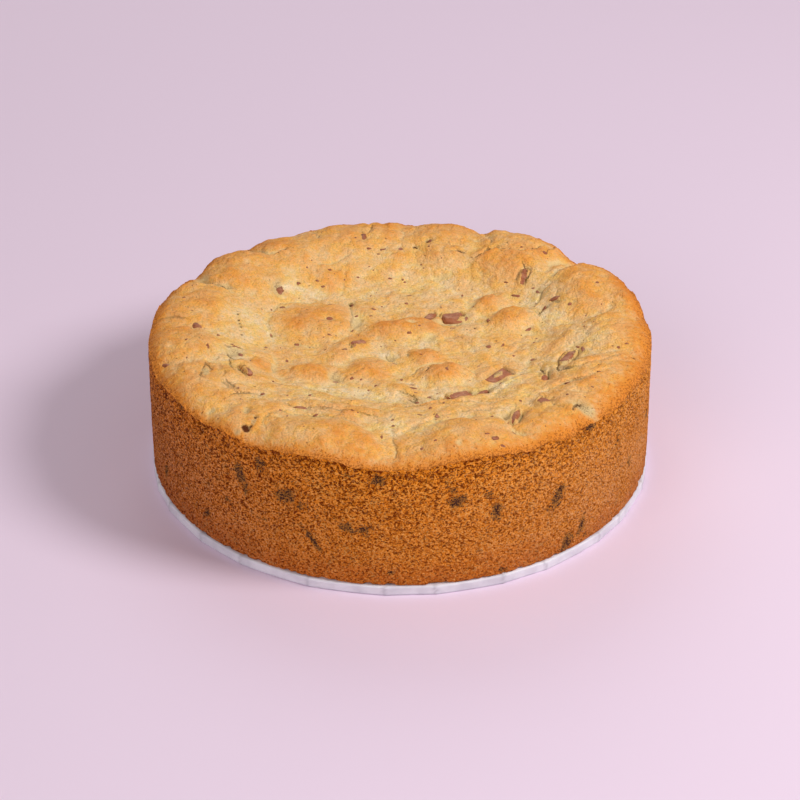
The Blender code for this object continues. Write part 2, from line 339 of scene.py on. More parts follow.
# Lines in the dough, in mm seen from above: points, half width, depth, and how far the dough
# on the left of the line stands up over the right, or the other way round where it is negative
creases = (
    (((-80, 94), (-69, 80), (-62, 69), (-55, 66), (-44, 69)), 1.5, 3, -1.4),
    (((-116, 60), (-98, 50), (-86, 43), (-77, 39), (-66, 36)), 1.9, 3.8, -1.2),
    (((-24, 60), (-23, 55), (-24, 49), (-26, 42)), 0.8, 0.6, 0.4),
    (((-53, 24), (-49, 34), (-41, 38), (-31, 36), (-21, 37)), 0.9, 0.9, -0.8),
    (((-21, 37), (-19, 26), (-20, 14)), 0.9, 0.9, -0.5),
    (((-52, 27), (-54, 17), (-50, 9)), 0.8, 0.7, 0.5),
    (((-50, 9), (-40, 4), (-28, 2)), 0.8, 0.5, 0.4),
    (((-19, 71), (-24, 66), (-30, 62), (-36, 61)), 0.9, 0.8, 0.3),
    (((31, 106), (33, 94), (36, 85), (38.6, 77), (37, 70)), 1.3, 1.1, -1.1),
    (((30, 64), (33, 65.5), (37, 68.5), (41, 70)), 0.5, 1.8, 0.2),
    (((78, 92), (70, 80), (64, 70), (61, 64)), 1, 1.4, 0.8),
    (((96, 76), (83, 64), (75, 56.5), (68, 51), (62, 45)), 1.4, 2, 0.9),
    (((-12, 112), (-13, 98), (-12, 88), (-14, 82)), 1.1, 1.2, 0.7),
    (((-44, 104), (-40, 92), (-36, 84), (-34, 78)), 1, 1, -0.6),
    (((-112, 12), (-100, 10), (-90, 9), (-83, 7)), 1, 1.1, 0.6),
    (((32, 64), (36, 66), (40, 69), (46, 66), (51, 65), (57, 67), (62, 73)), 0.8, 1.5, -0.9),
    (((19, 77), (23, 72), (25, 69)), 0.6, 0.8, 0.2),
    (((50, 58), (53, 54), (54, 51), (51, 44)), 0.9, 1.5, -0.3),
    (((63, 42), (59, 40), (57, 35), (54, 31)), 0.9, 1.4, 0.4),
    (((65, 36), (63, 31), (66, 27)), 0.8, 1.2, 0.3),
    (((61, 28), (58, 27), (56, 24)), 0.7, 1.5, 0.3),
    (((38, 26), (43, 31), (49, 33), (54, 28), (58, 21), (60, 16)), 0.9, 1, -0.8),
    (((29, 32), (33, 38), (38, 40), (43, 37)), 0.8, 0.7, -0.6),
    (((86, 18), (79, 12), (73, 11), (66, 15), (60, 17)), 0.8, 0.9, 0.3),
    (((-20, 11), (-12, 17), (-4, 22), (6, 24), (14, 22), (21, 15)), 0.9, 0.7, -0.8),
    (((-26, -4), (-21, -2), (-12, 6), (-6, 11)), 0.8, 0.7, 0.4),
    (((4, -10), (3, -3), (7, 0), (13, -2), (17, -6)), 0.7, 0.8, -0.6),
    (((3, -24), (7, -16), (14, -13), (22, -17), (28, -19), (31, -25)), 0.8, 0.9, -0.7),
    (((-44, -28), (-43, -18), (-36, -16), (-27, -17)), 0.8, 0.7, -0.5),
    (((-26, -29), (-22, -23), (-14, -19), (-4, -17)), 0.7, 0.7, -0.5),
    (((-61, -21), (-57, -14), (-51, -15), (-50, -22), (-55, -28)), 0.7, 0.8, -0.6),
    (((-68.5, -40.5), (-66, -43.5), (-64, -46.5), (-61.5, -48)), 0.5, 1.15, 0.3),
    (((-70, -41), (-68, -44.5), (-65.4, -47.4), (-62.6, -49.4)), 0.4, 0.9, 0.2),
    (((-66, -54), (-63, -51), (-59.5, -48.8), (-56.5, -48.2), (-52, -50.5)), 0.6, 1.3, 0.4),
    (((-68.6, -35), (-68.2, -38), (-69.4, -41)), 0.5, 1, 0.2),
    (((-82.4, -23), (-81.8, -28), (-81.2, -34)), 0.5, 0.6, 0.2),
    (((-68.6, -15), (-66.8, -18.6), (-65, -20.2), (-62, -18.2)), 0.6, 1.6, 0.2),
    (((-65.4, -33), (-64.5, -31.2), (-63.2, -29), (-61.6, -28.4), (-58.6, -27)), 0.4, 1.3, 0.2),
    (((-59, -38), (-51, -37), (-39, -34), (-27, -37), (-17, -40)), 0.6, 0.7, 0.4),
    (((-47, -54), (-41, -58.4), (-36, -58.4), (-30, -60), (-20, -63), (-10, -66), (-3, -68)), 0.6, 1.1, 0.6),
    (((-53, -56), (-46, -53), (-38, -52), (-27, -54), (-15, -57), (-6, -60)), 0.7, 0.8, 0.5),
    (((-51, -79), (-52, -73), (-50, -67), (-46, -63), (-36, -64), (-22, -69), (-6, -76)), 0.6, 0.8, 0.6),
    (((-3, -80), (-1, -88), (-2, -96)), 1.1, 1, 0.4),
    (((-2, -81), (2, -76), (8, -71), (15, -65), (23, -61), (34, -60), (44, -57)), 0.8, 0.9, 0.7),
    (((7, -57), (15, -54), (24, -53), (33, -52), (42, -54)), 0.7, 0.8, 0.5),
    (((-2, -36), (2, -37), (6, -38.6), (7.4, -42.4)), 0.6, 1.5, 0.3),
    (((8.6, -38.6), (11.4, -39), (14.6, -41.8), (18, -41.4), (21.4, -42)), 0.6, 1.9, 0.3),
    (((1, -40), (8, -43), (14, -45), (21, -44)), 0.7, 1.3, 0.4),
    (((0, -52), (6, -54.4), (12, -54.6), (19, -52)), 0.6, 1.1, 0.3),
    (((35, -45), (40, -40), (45, -33), (50, -31)), 0.7, 0.8, 0.5),
    (((50, -53), (57, -45), (63, -42), (66, -40), (70, -40), (78, -36), (88, -31)), 0.8, 0.9, 0.6),
    (((60, -28), (64, -28), (70, -30), (79, -26), (90, -18)), 0.8, 0.9, 0.4),
    (((68, -31), (64, -29), (61.6, -26), (62, -19), (63.4, -13), (67, -9)), 0.9, 2.1, -0.3),
    (((56, -19), (56.4, -23), (57.2, -27), (56.8, -32)), 0.8, 2, 0.2),
    (((58.4, -58), (60.4, -62), (63, -66.6)), 0.5, 1, 0.3),
    (((65.8, -67.6), (65.8, -63.6), (67.2, -60.6), (70, -61.4)), 0.8, 1.6, 0.4),
    (((62.5, -43.6), (65.4, -41.4), (68, -40.4), (72, -40.6)), 0.6, 1.2, 0.4),
    (((45, -52), (44, -62), (42, -72), (43, -80)), 0.8, 0.8, 0.3),
    (((-95, -1), (-87, -3), (-79, -11), (-74, -18), (-70, -28)), 0.8, 0.6, 0.5),
    (((-80, -23), (-74, -24), (-71, -30), (-68, -38)), 0.7, 0.6, 0.4),
    (((-66, 19), (-65, 11), (-64, 4)), 0.4, 0.7, 0),
    (((-75, -43), (-77.4, -40), (-77.4, -35), (-76, -28), (-74.6, -31.5), (-73, -38)), 0.5, 1.2, 0.2),
    (((-70, -12), (-67.6, -8), (-64, -7.4), (-61, -9)), 0.6, 1.1, 0.2),
    (((-67.4, -20), (-66.6, -25), (-64.6, -31.5)), 0.6, 1.3, 0.3),
    (((-25, -18), (-27, -23), (-23, -27)), 0.8, 0.9, 0.3),
    (((9.6, -22), (11, -19), (12.8, -15.6)), 0.5, 1.3, 0.3),
    (((-6, -2), (-5, -8), (-1, -12)), 0.8, 1, 0.3),
    (((23, 9), (28, 2), (32, -6), (34, -14)), 0.8, 0.5, 0.3),
    (((0, 95), (2, 85), (-1, 76)), 0.9, 0.5, 0.2),
    (((6, 76), (9, 71), (15, 69), (22, 68)), 0.8, 0.6, -0.4),
    (((-6, 58), (2, 60), (12, 59), (24, 60)), 0.9, 0.5, 0.4),
    (((44, -6), (49, 4), (50, 12), (57, 15)), 0.8, 0.5, 0.3),
    (((74, -18), (76, -10), (74, -2), (78, 6)), 0.9, 0.6, 0.3),
)

# Hollows: across, away, half length, half width, turn, depth, and how much painted shade darkens the inside,
# where 0 is pale
hollows = (
    (25, 69.3, 2.6, 1.4, 0, 2, 1), (11.8, 78, 1.8, 1.5, 0, 1.4, 0.8), (6.8, 75.5, 1.8, 0.9, -40, 1.2, 0.9),
    (-66, -13.5, 2.6, 4.6, -8, 0.7, 0), (-75.4, -36, 1.4, 4.2, 4, 0.6, 0.1),
    (-26.5, -22.5, 3, 3.2, 0, 1.2, 0.2), (-4, -7.5, 3.2, 3.4, 20, 1.4, 0.15),
    (12, 7.5, 2.4, 3.4, 0, 1.2, 0.1), (66.5, -21, 3.2, 5.6, -8, 1.4, 0),
    (40.2, -67.8, 1.8, 4, 10, 1.8, 0.15), (71.4, -64.2, 7.6, 2.2, -41, 1.5, 0.25),
    (75.8, -67.6, 2, 1.2, -30, 2, 0.6), (38, 3, 1.2, 1.2, 0, 1, 0.6), (30.3, 16.4, 0.8, 0.9, 0, 1, 1),
    (62.8, -27.6, 1.6, 1.1, -40, 1.4, 0.9), (43, -74, 1, 1.4, 0, 1, 0.9),
    (-58.6, -76, 1.7, 2.2, 0, 1.2, 0.95), (-57, -75, 1.2, 0.9, 30, 0.8, 0.8),
    (-58.6, -65, 1.6, 2.8, 0, 1.3, 0.45), (-54.8, -70.6, 0.9, 1.5, 0, 1, 0.8),
    (-72, -62, 2, 1.2, 20, 0.8, 0.4), (92, -22, 1.2, 0.8, -30, 1.2, 1),
    (-50.8, 44.2, 1.3, 2.6, -18, 1, 0.55), (-83, 47, 3, 8, 20, 2.2, 0), (71.8, 60, 2.2, 8, -20, 2, 0),
    (8, -44, 2.4, 1.4, 0, 1.6, 0.5), (-17.5, 20, 2.2, 5, 0, 1.2, 0.1), (-19.5, 15, 1, 1.2, 0, 1, 0.7),
    (-52.5, 11, 1.2, 1.8, -10, 1, 0.6), (5, 18, 2.2, 1.6, 0, 1, 0.1), (17, 58, 4.4, 1.6, 10, 0.7, 0.1),
    (27, 26, 1.2, 2.4, 0, 1, 0.2), (8, 92, 1.6, 1.4, 0, 0.7, 0.5), (22, -91, 1.4, 1.8, 0, 0.6, 0.1),
    (44.5, -80, 3, 1.4, -25, 1.2, 0.2), (-20, 39, 0.9, 1.9, 0, 1.4, 0.9), (-29, 21, 2.4, 1.8, 0, 0.6, 0.3),
    (20.5, 22.5, 8, 2.6, -5, 1.5, 0), (24.5, -42, 9, 2.6, 8, 1.6, 0), (57, -33, 2.6, 2.4, 0, 1.2, 0.2),
    *((-66 + 0.4 * step, 19 - 2.6 * step, 1, 0.5, 25, 0.5, 0.9) for step in range(7)),  # a row of tears
)

# Where the crust baked browner, or stayed paler where it is negative:
# across, away, half length, half width, turn, how much
toastedSpots = (
    (-36, 22, 17, 17, 8, 0.2), (-2, 16, 20, 7, 16, 0.24), (-5, 20, 6, 3, 10, 0.16), (-28, 54, 8, 8, 0, 0.2),
    (42, 64, 14, 8, -10, 0.16), (48, 26, 10, 8, 10, 0.18), (35, 36, 8, 4, 45, 0.14),
    (-36, -23, 12, 8, 0, 0.16), (11, -8, 9, 6, 0, 0.16), (17, -20, 10, 6, 0, 0.14),
    (-55, -19, 5, 5, 0, 0.24), (-13, -18, 14, 8, 0, 0.16), (-45, -4, 4, 4, 0, 0.06),
    (42, 50, 6, 8, 0, 0.14), (76, 40, 12, 16, 20, 0.1), (-60, 60, 14, 10, 30, 0.12),
    (0, 56, 26, 10, 0, -0.08), (-42, 45, 10, 7, -20, -0.26), (58, 36, 6, 14, -20, -0.2),
    (-60, 4, 9, 16, 0, -0.18), (40, -35, 14, 8, 45, -0.22), (-2, -72, 7, 9, 0, -0.24),
    (-4, -6, 5, 4, 0, -0.24), (4, 42, 28, 10, 0, -0.06), (-12, -44, 36, 9, 0, -0.12),
    (68, -22, 10, 8, 30, -0.2), (24, 66, 9, 6, 0, -0.1), (-17, 22, 4, 9, 10, -0.26),
    (73, -65, 8, 4, 10, -0.3), (41, -62, 4, 6, 0, -0.2), (-66, -16, 6, 8, 0, -0.26),
    (24, -36, 18, 7, 0, -0.22), (12, 6, 4, 7, 0, -0.24), (62, 22, 8, 9, 0, -0.2),
    (-26, -34, 14, 7, 0, -0.16), (78, 0, 9, 12, 0, -0.1), (20, 30, 14, 6, 0, -0.14),
    (-68, 44, 8, 8, 0, 0.1), (10, 92, 60, 6, 0, 0.12), (78, -44, 10, 16, 45, 0.12),
    (-90, 46, 7, 5, 60, 0.16), (-64, 74, 12, 3.5, 42, 0.14), (92, 34, 4, 12, 20, 0.22),
    (72, 66, 10, 4, -42, 0.14), (-96, 10, 4, 12, 0, 0.14), (40, 88, 9, 3, -25, 0.12),
    (97, 10, 3, 12, 0, 0.2), (79, -5, 9, 8, 0, -0.2), (40, -36, 7, 4, 40, -0.16), (61, -12, 3, 5, 0, -0.16),
    (-62, 22, 7, 7, 0, -0.12),
)

# Dough that lies over part of a chunk: across, away, half length, half width, turn
flaps = (
    (38.8, -21.4, 3.2, 1.5, 45), (25.9, 25.4, 5.5, 2, 63), (16, 27.5, 4.5, 1.1, 75),
    (14.6, 24.6, 2.4, 1.6, 30),
)

# Chunks that show only through a smaller opening: across, away, half length, half width, turn
windows = {
    "chunk_lobe_front": (55.8, -57.2, 3.2, 2.1, -15), "chunk_lobe_upright": (44, -66.8, 5.8, 1.15, 76),
    "chunk_edge_right": (57.2, -31.2, 2.4, 1.9, 60), "chunk_left_corner": (-58.9, -30.2, 4.6, 1, -83),
    "chunk_ridge": (-16.4, 2.1, 4, 1.5, 30), "chunk_back_sliver": (51.6, 50.6, 5.2, 1, 75),
    "chunk_front_long": (24.6, -37.4, 6, 3.4, 26), "chunk_front_short": (32, -37.6, 5, 1.8, 48),
    "chunk_pocket": (66.4, -14.8, 5.8, 1.9, 60), "chunk_centre": (21.2, 27.2, 5.6, 3.7, 40),
}

# Damp grey dough beside the chocolate: across, away, half length, half width, turn, how strong
ashenSpots = (
    (-66, -13.6, 3.2, 5.2, -8, 0.85), (-75.8, -36, 1.8, 4.4, 4, 0.8), (-55.6, -73.6, 1.4, 1.2, 40, 0.9),
    (-61.4, -77.2, 1.2, 1.4, 0, 0.8), (6, -41.5, 1.6, 2, 0, 1), (11.5, -41, 2.2, 1.8, 0, 0.7),
    (-58.6, -65, 1.7, 3, 0, 0.9), (-54.8, -70.4, 1.3, 1.8, 0, 0.7), (-72, -62.4, 2.2, 1.5, 20, 0.8),
    (71.6, -64.2, 9, 3.4, -41, 0.95), (75.8, -67.4, 4.4, 2.6, -41, 0.9), (40.2, -67.8, 2.2, 4.4, 10, 1),
    (66.6, -21.5, 4, 6, -10, 0.7), (38.8, -21.4, 3.6, 1.8, 45, 1), (8, -44, 8, 2.2, 5, 0.7),
    (20, 21, 9, 2.4, -4, 0.5), (-17.5, 20, 3, 6, 0, 0.7), (-50.8, 43, 2.4, 5, -18, 0.9),
    (12, 7.5, 2.6, 3.6, 0, 0.6), (-4, -7.5, 3.4, 3.6, 20, 0.5), (-26, -23, 3.4, 3.8, 0, 0.7),
    (17, -45, 8, 2.4, 8, 0.7), (55, 42, 2.4, 6, 15, 0.5), (59, 27, 5, 2.4, 30, 0.5),
    (48, -8, 5, 3, 20, 0.4), (28, 66, 5, 1.8, 0, 0.5), (8, 14, 5, 2.2, 20, 0.4),
    (56.5, -27, 1.6, 7, 0, 0.6), (-41, 3, 1.6, 3.6, 0, 0.4), (44, -82, 3, 1.6, -20, 0.5),
)


def crustGrid():  # a square grid pressed into a disc, rolled over at its edge
    bm = bmesh.new()
    bmesh.ops.create_grid(bm, x_segments=crust["cells"], y_segments=crust["cells"], size=1)
    side = crust["cells"] + 1
    flat = np.array([vert.co for vert in bm.verts])
    squareX = flat[:, 0].reshape(side, side)
    squareY = flat[:, 1].reshape(side, side)
    discX = squareX * np.sqrt(1 - squareY ** 2 / 2)
    discY = squareY * np.sqrt(1 - squareX ** 2 / 2)
    reach = np.hypot(discX, discY)
    full = math.radians(crust["shoulderTurn"])
    turn = np.clip((reach - crust["shoulder"]) / (1 - crust["shoulder"]), 0, 1) * full
    rolled = np.sin(turn) / math.sin(full)
    shoulder = crust["shoulder"] * crust["radius"]
    distance = np.where(turn > 0, shoulder + (crust["radius"] - shoulder) * rolled, reach * crust["radius"])
    bearing = np.arctan2(discY, discX)
    return bm, distance * np.cos(bearing), distance * np.sin(bearing)


def doughHeight(x, y):  # the solid's top, its pockets filled and its facets smoothed
    amount, length = crust["wander"]
    calm = 1 - ease(*crust["steady"], np.hypot(x, y))
    castX = x + amount * mm * cloud(x, y, 0, length * mm, 21) * calm
    castY = y + amount * mm * cloud(x, y, 0, length * mm, 22) * calm
    inward = np.minimum(1, (crust["radius"] - 0.2 * mm) / np.maximum(np.hypot(castX, castY), mm))
    height = castDown(cookieTree, castX * inward, castY * inward)
    pocket = np.zeros(x.shape, bool)
    for name in chunkNames:
        pocket |= nearNode(name, x, y, crust["pocketSpare"])
    height[pocket] = np.nan
    height = np.where(pocket, np.nanmean(height), height)
    return softened(filledIn(height, pocket, 400), crust["smoothing"])


def crease(x, y, line):  # its groove, its lip, its line of painted shade and the distance from it
    points, width, depth, lip = line
    gap, side, share = nearLine(x, y, points)
    fade = ease(0, crust["creaseFade"], share) * ease(0, crust["creaseFade"], 1 - share)
    groove = np.exp(-(gap / width) ** 2) * fade
    higher = side * np.sign(lip or 1) > 0
    raised = np.where(higher, np.exp(-(gap / (crust["lipReach"] * width)) ** 1.6), 0) * fade
    # painted shade along the crease, darker where the crease is deeper
    ink = np.exp(-(gap / crust["creaseShadeReach"]) ** 2) * fade * min(max(0.8 * depth - 0.45, 0.05), 0.9)
    return groove * depth, raised * abs(lip), ink, gap * side


def standingDough(x, y):  # the lift of the lumps, and of the round bumps all over, in mm
    bent, warped = wandered(x, y, crust["lumpWander"])
    raised = np.zeros(x.shape)
    for spot in lumps:
        dome = spot[5] * np.clip(1 - ovalReach(bent, warped, spot) ** 2.2, 0, None) ** 1.2
        raised = np.maximum(raised, dome * crust["lumpHeight"])
    lift = softened(raised, 2)
    patchy = ease(-0.3, 0.3, cloud(x, y, 0, 14, 35))
    for number, (size, amount) in enumerate(crust["bubbles"]):
        dome = 1 - np.clip(cellGap(bent, warped, 0, size, 36 + number), 0, 1) ** 1.6
        lift += amount * dome * (0.35 + 0.65 * patchy)
    return lift


def doughDetail(x, y):  # the lift of every point, and the fields that its finish reads
    x, y = x / mm, y / mm
    lift = standingDough(x, y)
    bent, warped = wandered(x, y, crust["fineWander"])
    ragged = 0.7 + 0.6 * cloud(x, y, 0, 4, 38)
    broken = ease(-0.35, 0.25, cloud(x, y, 0, 5, 39))
    ink, crack, valley, ashen, stain = np.zeros((5, *x.shape))
    gap = np.full(x.shape, 9.0)
    for line in creases:
        groove, lip, dark, signed = crease(bent, warped, line)
        lift += (lip - groove) * ragged
        ink = np.maximum(ink, dark * (0.35 + 0.65 * broken))
        gap = np.where(np.abs(signed) < np.abs(gap), signed, gap)
    for spot in hollows:
        inside = blot(bent, warped, spot)
        lift -= inside * spot[5]
        # the darker hollows get painted shade inside
        crack = np.maximum(crack, inside * spot[6])
        valley = np.maximum(valley, inside * (1 - spot[6]))
    for spot in ashenSpots:
        ashen = np.maximum(ashen, spot[5] * blot(bent, warped, spot))
    for across, away, length, width, turn in chips:
        spread = blot(bent, warped, (across, away, length / 2 + 1.1, width / 2 + 0.9, turn), 2)
        stain = np.maximum(stain, spread * min(1, length * width / 5))
    lift -= crust["stainDip"] * stain
    found = {"crack": crack, "valley": valley, "ink": ink, "gap": np.clip(gap, -3, 3)}
    return lift * mm, found | {"stain": stain, "ashen": ashen}


# Fine folds along the inner wall of the rim in front, sizes in mm
wrinkles = {
    "bearing": math.radians(-116), "halfTurn": 0.62,  # where round the rim, and how far to each side
    "distance": 58, "halfWidth": 15,  # from the middle, and how far to each side of that
    "spacing": 2.0, "height": 0.4,
    "sway": (8, 1.8),  # over what length and how far they sway
}


def rimWrinkles(x, y):
    x, y = x / mm, y / mm
    distance = np.hypot(x, y)
    bearing = np.arctan2(y, x)
    length, amount = wrinkles["sway"]
    sway = amount * cloud(x, y, 0, length, 51)
    lines = cloud(distance + sway, bearing * 70 / 11, 0, wrinkles["spacing"], 52)
    within = hump(bearing, wrinkles["bearing"], wrinkles["halfTurn"])
    within *= hump(distance, wrinkles["distance"], wrinkles["halfWidth"])
    return np.clip(1 - np.abs(lines) * 2.4, -0.4, 1) * within * wrinkles["height"] * mm


# Where the rim sank or rose in baking: bearing, half width in degrees, drop in mm
rimDrops = (
    (90, 44, 0.9), (146.6, 3.6, 2.4), (165, 5, 0.9), (121, 6, 0.4), (71, 3, 0.6), (64, 2.4, -1.4),
    (43.6, 3, 1.6), (91.5, 2, -1.4), (14, 4, -1.8), (6.5, 3, 0.8),
)


def rimDrop(x, y):
    bearing = np.degrees(np.arctan2(y, x))
    drop = np.zeros(x.shape)
    for middle, halfWidth, amount in rimDrops:
        drop += amount * hump(bearing, middle, halfWidth)
    return drop * mm * ease(82 * mm, 95 * mm, np.hypot(x, y))


def edgeWidth(x, y):  # how far in from the tin line the browned edge reaches, in mm
    bearing = np.degrees(np.arctan2(y, x))
    right = hump(bearing, -14, 34)
    left = hump(np.abs(bearing), 172, 26)
    leftFront = hump(bearing, -132, 24)
    return 4.2 + 3.0 * right + 1.0 * left - 1.5 * leftFront


# The dough lies level with the chunks and opens over them, with a ragged edge and flaps over some
def openOverChunks(x, y, base, lift, fields):
    chunkTop = castDown(chunkTree, x, y)
    beyond = np.isnan(chunkTop)
    footprint = 1.0 - beyond
    level = filledIn(np.where(beyond, base, chunkTop), beyond, 40)
    beside = np.clip(softened(footprint, 24) * 2.2, 0, 1)
    lift = lift * (1 - 0.7 * beside) + beside * (level - base)
    under = softened(footprint, 3)
    over = under + waves(x, y, 0, crust["openingEdge"], 61)
    flap = np.zeros(x.shape)
    for spot in flaps:
        flap = np.maximum(flap, blot(x / mm, y / mm, spot, 4))
    for name, spot in windows.items():
        within = nearNode(name, x, y, crust["windowSpare"])
        flap = np.maximum(flap, within * (1 - blot(x / mm, y / mm, spot, 6)))
    opening = ease(0.42, 0.6, over - flap) * ease(0, 0.05, under)
    lip = softened(footprint, 30) * (1 - opening)
    lift += (lip + flap * under) * crust["lip"] - opening * crust["openingDepth"]
    # painted shade in the gap where the dough opens round a chunk
    fields["crack"] = np.clip(np.maximum(fields["crack"], ease(0.1, 0.5, opening)), 0, 1)
    fields["valley"] = np.maximum(fields["valley"], 0.25 * flap * under)
    fields["stain"] = np.maximum(fields["stain"], 0.8 * beside)
    return lift


# The dough browned more where it stands up and towards the rim, and stayed pale in the valleys
def brown(x, y, height, fields):
    reach = np.hypot(x, y)
    narrow = (height - softened(height, 60)) / mm
    wide = (height - softened(height, 500)) / mm
    drift = waves(x, y, 0, crust["patches"], 71)
    toast = 0.44 + 0.1 * narrow + 0.06 * wide + drift + 0.1 * ease(70 * mm, 92 * mm, reach)
    bent, warped = wandered(x / mm, y / mm, crust["toastWander"])
    for spot in toastedSpots:
        toast += spot[5] * blot(bent, warped, spot, 2)
    fields["valley"] = np.maximum(ease(0.1, 0.8, -narrow) * 0.8, fields["valley"])
    fields["toast"] = toast
    fields["edge"] = np.exp(-(crust["radius"] - reach) / mm / edgeWidth(x, y))


def makeCrust():
    bm, x, y = crustGrid()
    reach = np.hypot(x, y)
    base = doughHeight(x, y)
    lift, fields = doughDetail(x, y)
    calm = 1 - ease(*crust["calm"], reach)
    lift += waves(x, y, 0, crust["swells"], 41) * mm
    lift = lift * (0.25 + 0.75 * calm) + rimWrinkles(x, y)
    lift = openOverChunks(x, y, base, lift, fields)
    ragged = waves(x, y, 0, crust["tinLine"], 63) * mm
    height = base + lift - rimDrop(x, y) + ragged * ease(98 * mm, crust["radius"], reach)
    brown(x, y, height, fields)
    for vert, place in zip(bm.verts, zip(x.ravel(), y.ravel(), height.ravel())):
        vert.co = place
    return bm, x, y, height, fields


# The side: the straight wall that the tin shaped, full of pores

side = {
    "rows": 78,
    "pores": (1.6, 1.0, 2.6),  # across the middling, small and large pores, in mm
    "poreDepth": 0.62,  # in mm, as the next two
    "raggedFoot": 0.9,
    "smearDepth": 0.25,
    "bumps": ((3, 0.14), (9, 0.12)),  # size and height of soft bumps, in mm
    "tears": ((1.5, 1), (3.2, 0.7)),  # size and strength of the tears in a smear
    "smearReach": 8,  # degrees to each side within which a smear is worked out
    "darkest": -165,  # bearing where the side is darkest
}

# Chocolate that smeared along the tin: bearing, height, half length, half width, lean, how strong
smears = (
    (-127.4, 42, 2.6, 4.6, 10, 0.66), (-126, 36.6, 1.6, 2.6, 0, 0.6), (-115.6, 38.8, 4.6, 3.4, 15, 0.64),
    (-98, 28.9, 3, 2.6, 20, 0.82), (-101.5, 30, 3.6, 2.4, 25, 0.54), (-109.6, 22, 5.4, 1.5, -52, 0.74),
    (-95, 51.8, 2.6, 2, 0, 0.8), (-157.2, 16.6, 2.4, 1.6, 60, 0.8), (-138.2, 15.8, 2.4, 1.8, 30, 0.6),
    (-147, 56.6, 1.8, 1.4, 0, 0.7), (-121.6, 49.6, 2.4, 3.4, 20, 0.56), (-112, 36, 3.4, 1.8, 20, 0.56),
    (-77.7, 41, 3.2, 2.4, 15, 0.86), (-78.6, 46, 3, 2.2, -30, 0.46), (-68.6, 34.1, 2, 3.8, 0, 0.92),
    (-70.2, 41.6, 2, 4, 0, 0.46), (-53.7, 30.6, 2.8, 4.8, -30, 0.68), (-52.4, 33.6, 1.4, 3, -30, 0.9),
    (-45.5, 13.4, 1.5, 3.6, -20, 0.9), (-50, 8.1, 2.4, 4, -30, 0.8), (-44.2, 7.2, 1.2, 1.2, 0, 0.8),
    (-43.8, 55.9, 2.4, 2, 0, 0.8), (-67, 6.2, 1.8, 1, 0, 0.6), (-92.2, 10.3, 1.2, 0.8, 0, 0.9),
    (-33, 40, 1.4, 3, -20, 0.6), (-26, 24, 1.6, 2.4, 0, 0.5), (-131, 27, 2.6, 1.2, -30, 0.4),
    (-165, 42, 1.8, 1.2, 0, 0.6), (-12, 33, 2.6, 2, 20, 0.8), (4, 21, 2, 3, -20, 0.8),
    (17, 44, 3, 2.2, 10, 0.9), (33, 30, 2.6, 3.6, 20, 0.8), (48, 14, 3.4, 1.6, -30, 0.7),
    (61, 47, 2.4, 2.2, 0, 0.9), (78, 27, 3, 2.6, 30, 0.9), (92, 39, 2, 1.6, 0, 0.7),
    (104, 17, 3.4, 1.6, -40, 0.8), (119, 46, 3, 2.6, 20, 0.9), (136, 29, 2.4, 3.4, -20, 0.9),
    (150, 50, 2, 1.6, 0, 0.7), (163, 22, 3, 2.2, 20, 0.8), (176, 37, 2.4, 2, 0, 0.8),
)


def makeSide(crustX, crustY, crustZ):
    border = np.ones(crustX.shape, bool)
    border[1:-1, 1:-1] = False
    bearing = np.arctan2(crustY[border], crustX[border])
    order = np.argsort(bearing)
    bearing = bearing[order]
    rimX, rimY, rimZ = (field[border][order] for field in (crustX, crustY, crustZ))
    columns = len(bearing)
    rows = side["rows"]

    bm = bmesh.new()
    bmesh.ops.create_circle(bm, segments=columns, radius=1)
    edges = bm.edges[:]
    for _ in range(rows):
        edges, verts = pulledOut(bm, edges)
        bmesh.ops.translate(bm, verts=verts, vec=(0, 0, -1))
    flat = np.array([vert.co for vert in bm.verts])
    turn = np.arctan2(flat[:, 1], flat[:, 0]) / (2 * math.pi)
    column = (np.round(turn * columns).astype(int) + columns // 2) % columns
    row = np.round(-flat[:, 2]).astype(int)

    share = np.linspace(0, 1, rows + 1)[:, None] * np.ones((1, columns))
    z = rimZ * (1 - share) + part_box("cookie")[0].z * share
    around = np.ones((rows + 1, 1)) * bearing
    radius = castIn(around, z)
    radius[0] = crust["radius"]
    x, y = radius * np.cos(around), radius * np.sin(around)
    depth, pore, smear, burnt = sideDetail(x, y, z, around, rimZ - z)
    radius = radius - depth
    x, y = radius * np.cos(around), radius * np.sin(around)
    x[0], y[0], z[0] = rimX, rimY, rimZ
    for vert, r, c in zip(bm.verts, row, column):
        vert.co = (x[r, c], y[r, c], z[r, c])
    bmesh.ops.contextual_create(bm, geom=edges)
    bmesh.ops.recalc_face_normals(bm, faces=bm.faces)
    found = {"pore": pore, "smear": smear, "share": share, "burnt": burnt}
    return bm, {name: field[row, column] for name, field in found.items()}


def castIn(around, z):  # distance of the solid's side from the middle, cast from well outside it
    far = 0.12
    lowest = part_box("cookie")[0].z + 0.1 * mm
    found = []
    for angle, height in zip(around.ravel(), np.clip(z, lowest, None).ravel()):
        outward = Vector((math.cos(angle), math.sin(angle), 0))
        hit = cookieTree.ray_cast(outward * far + Vector((0, 0, height)), -outward)[0]
        found.append(math.hypot(hit.x, hit.y) if hit else crust["radius"])
    return np.array(found).reshape(z.shape)


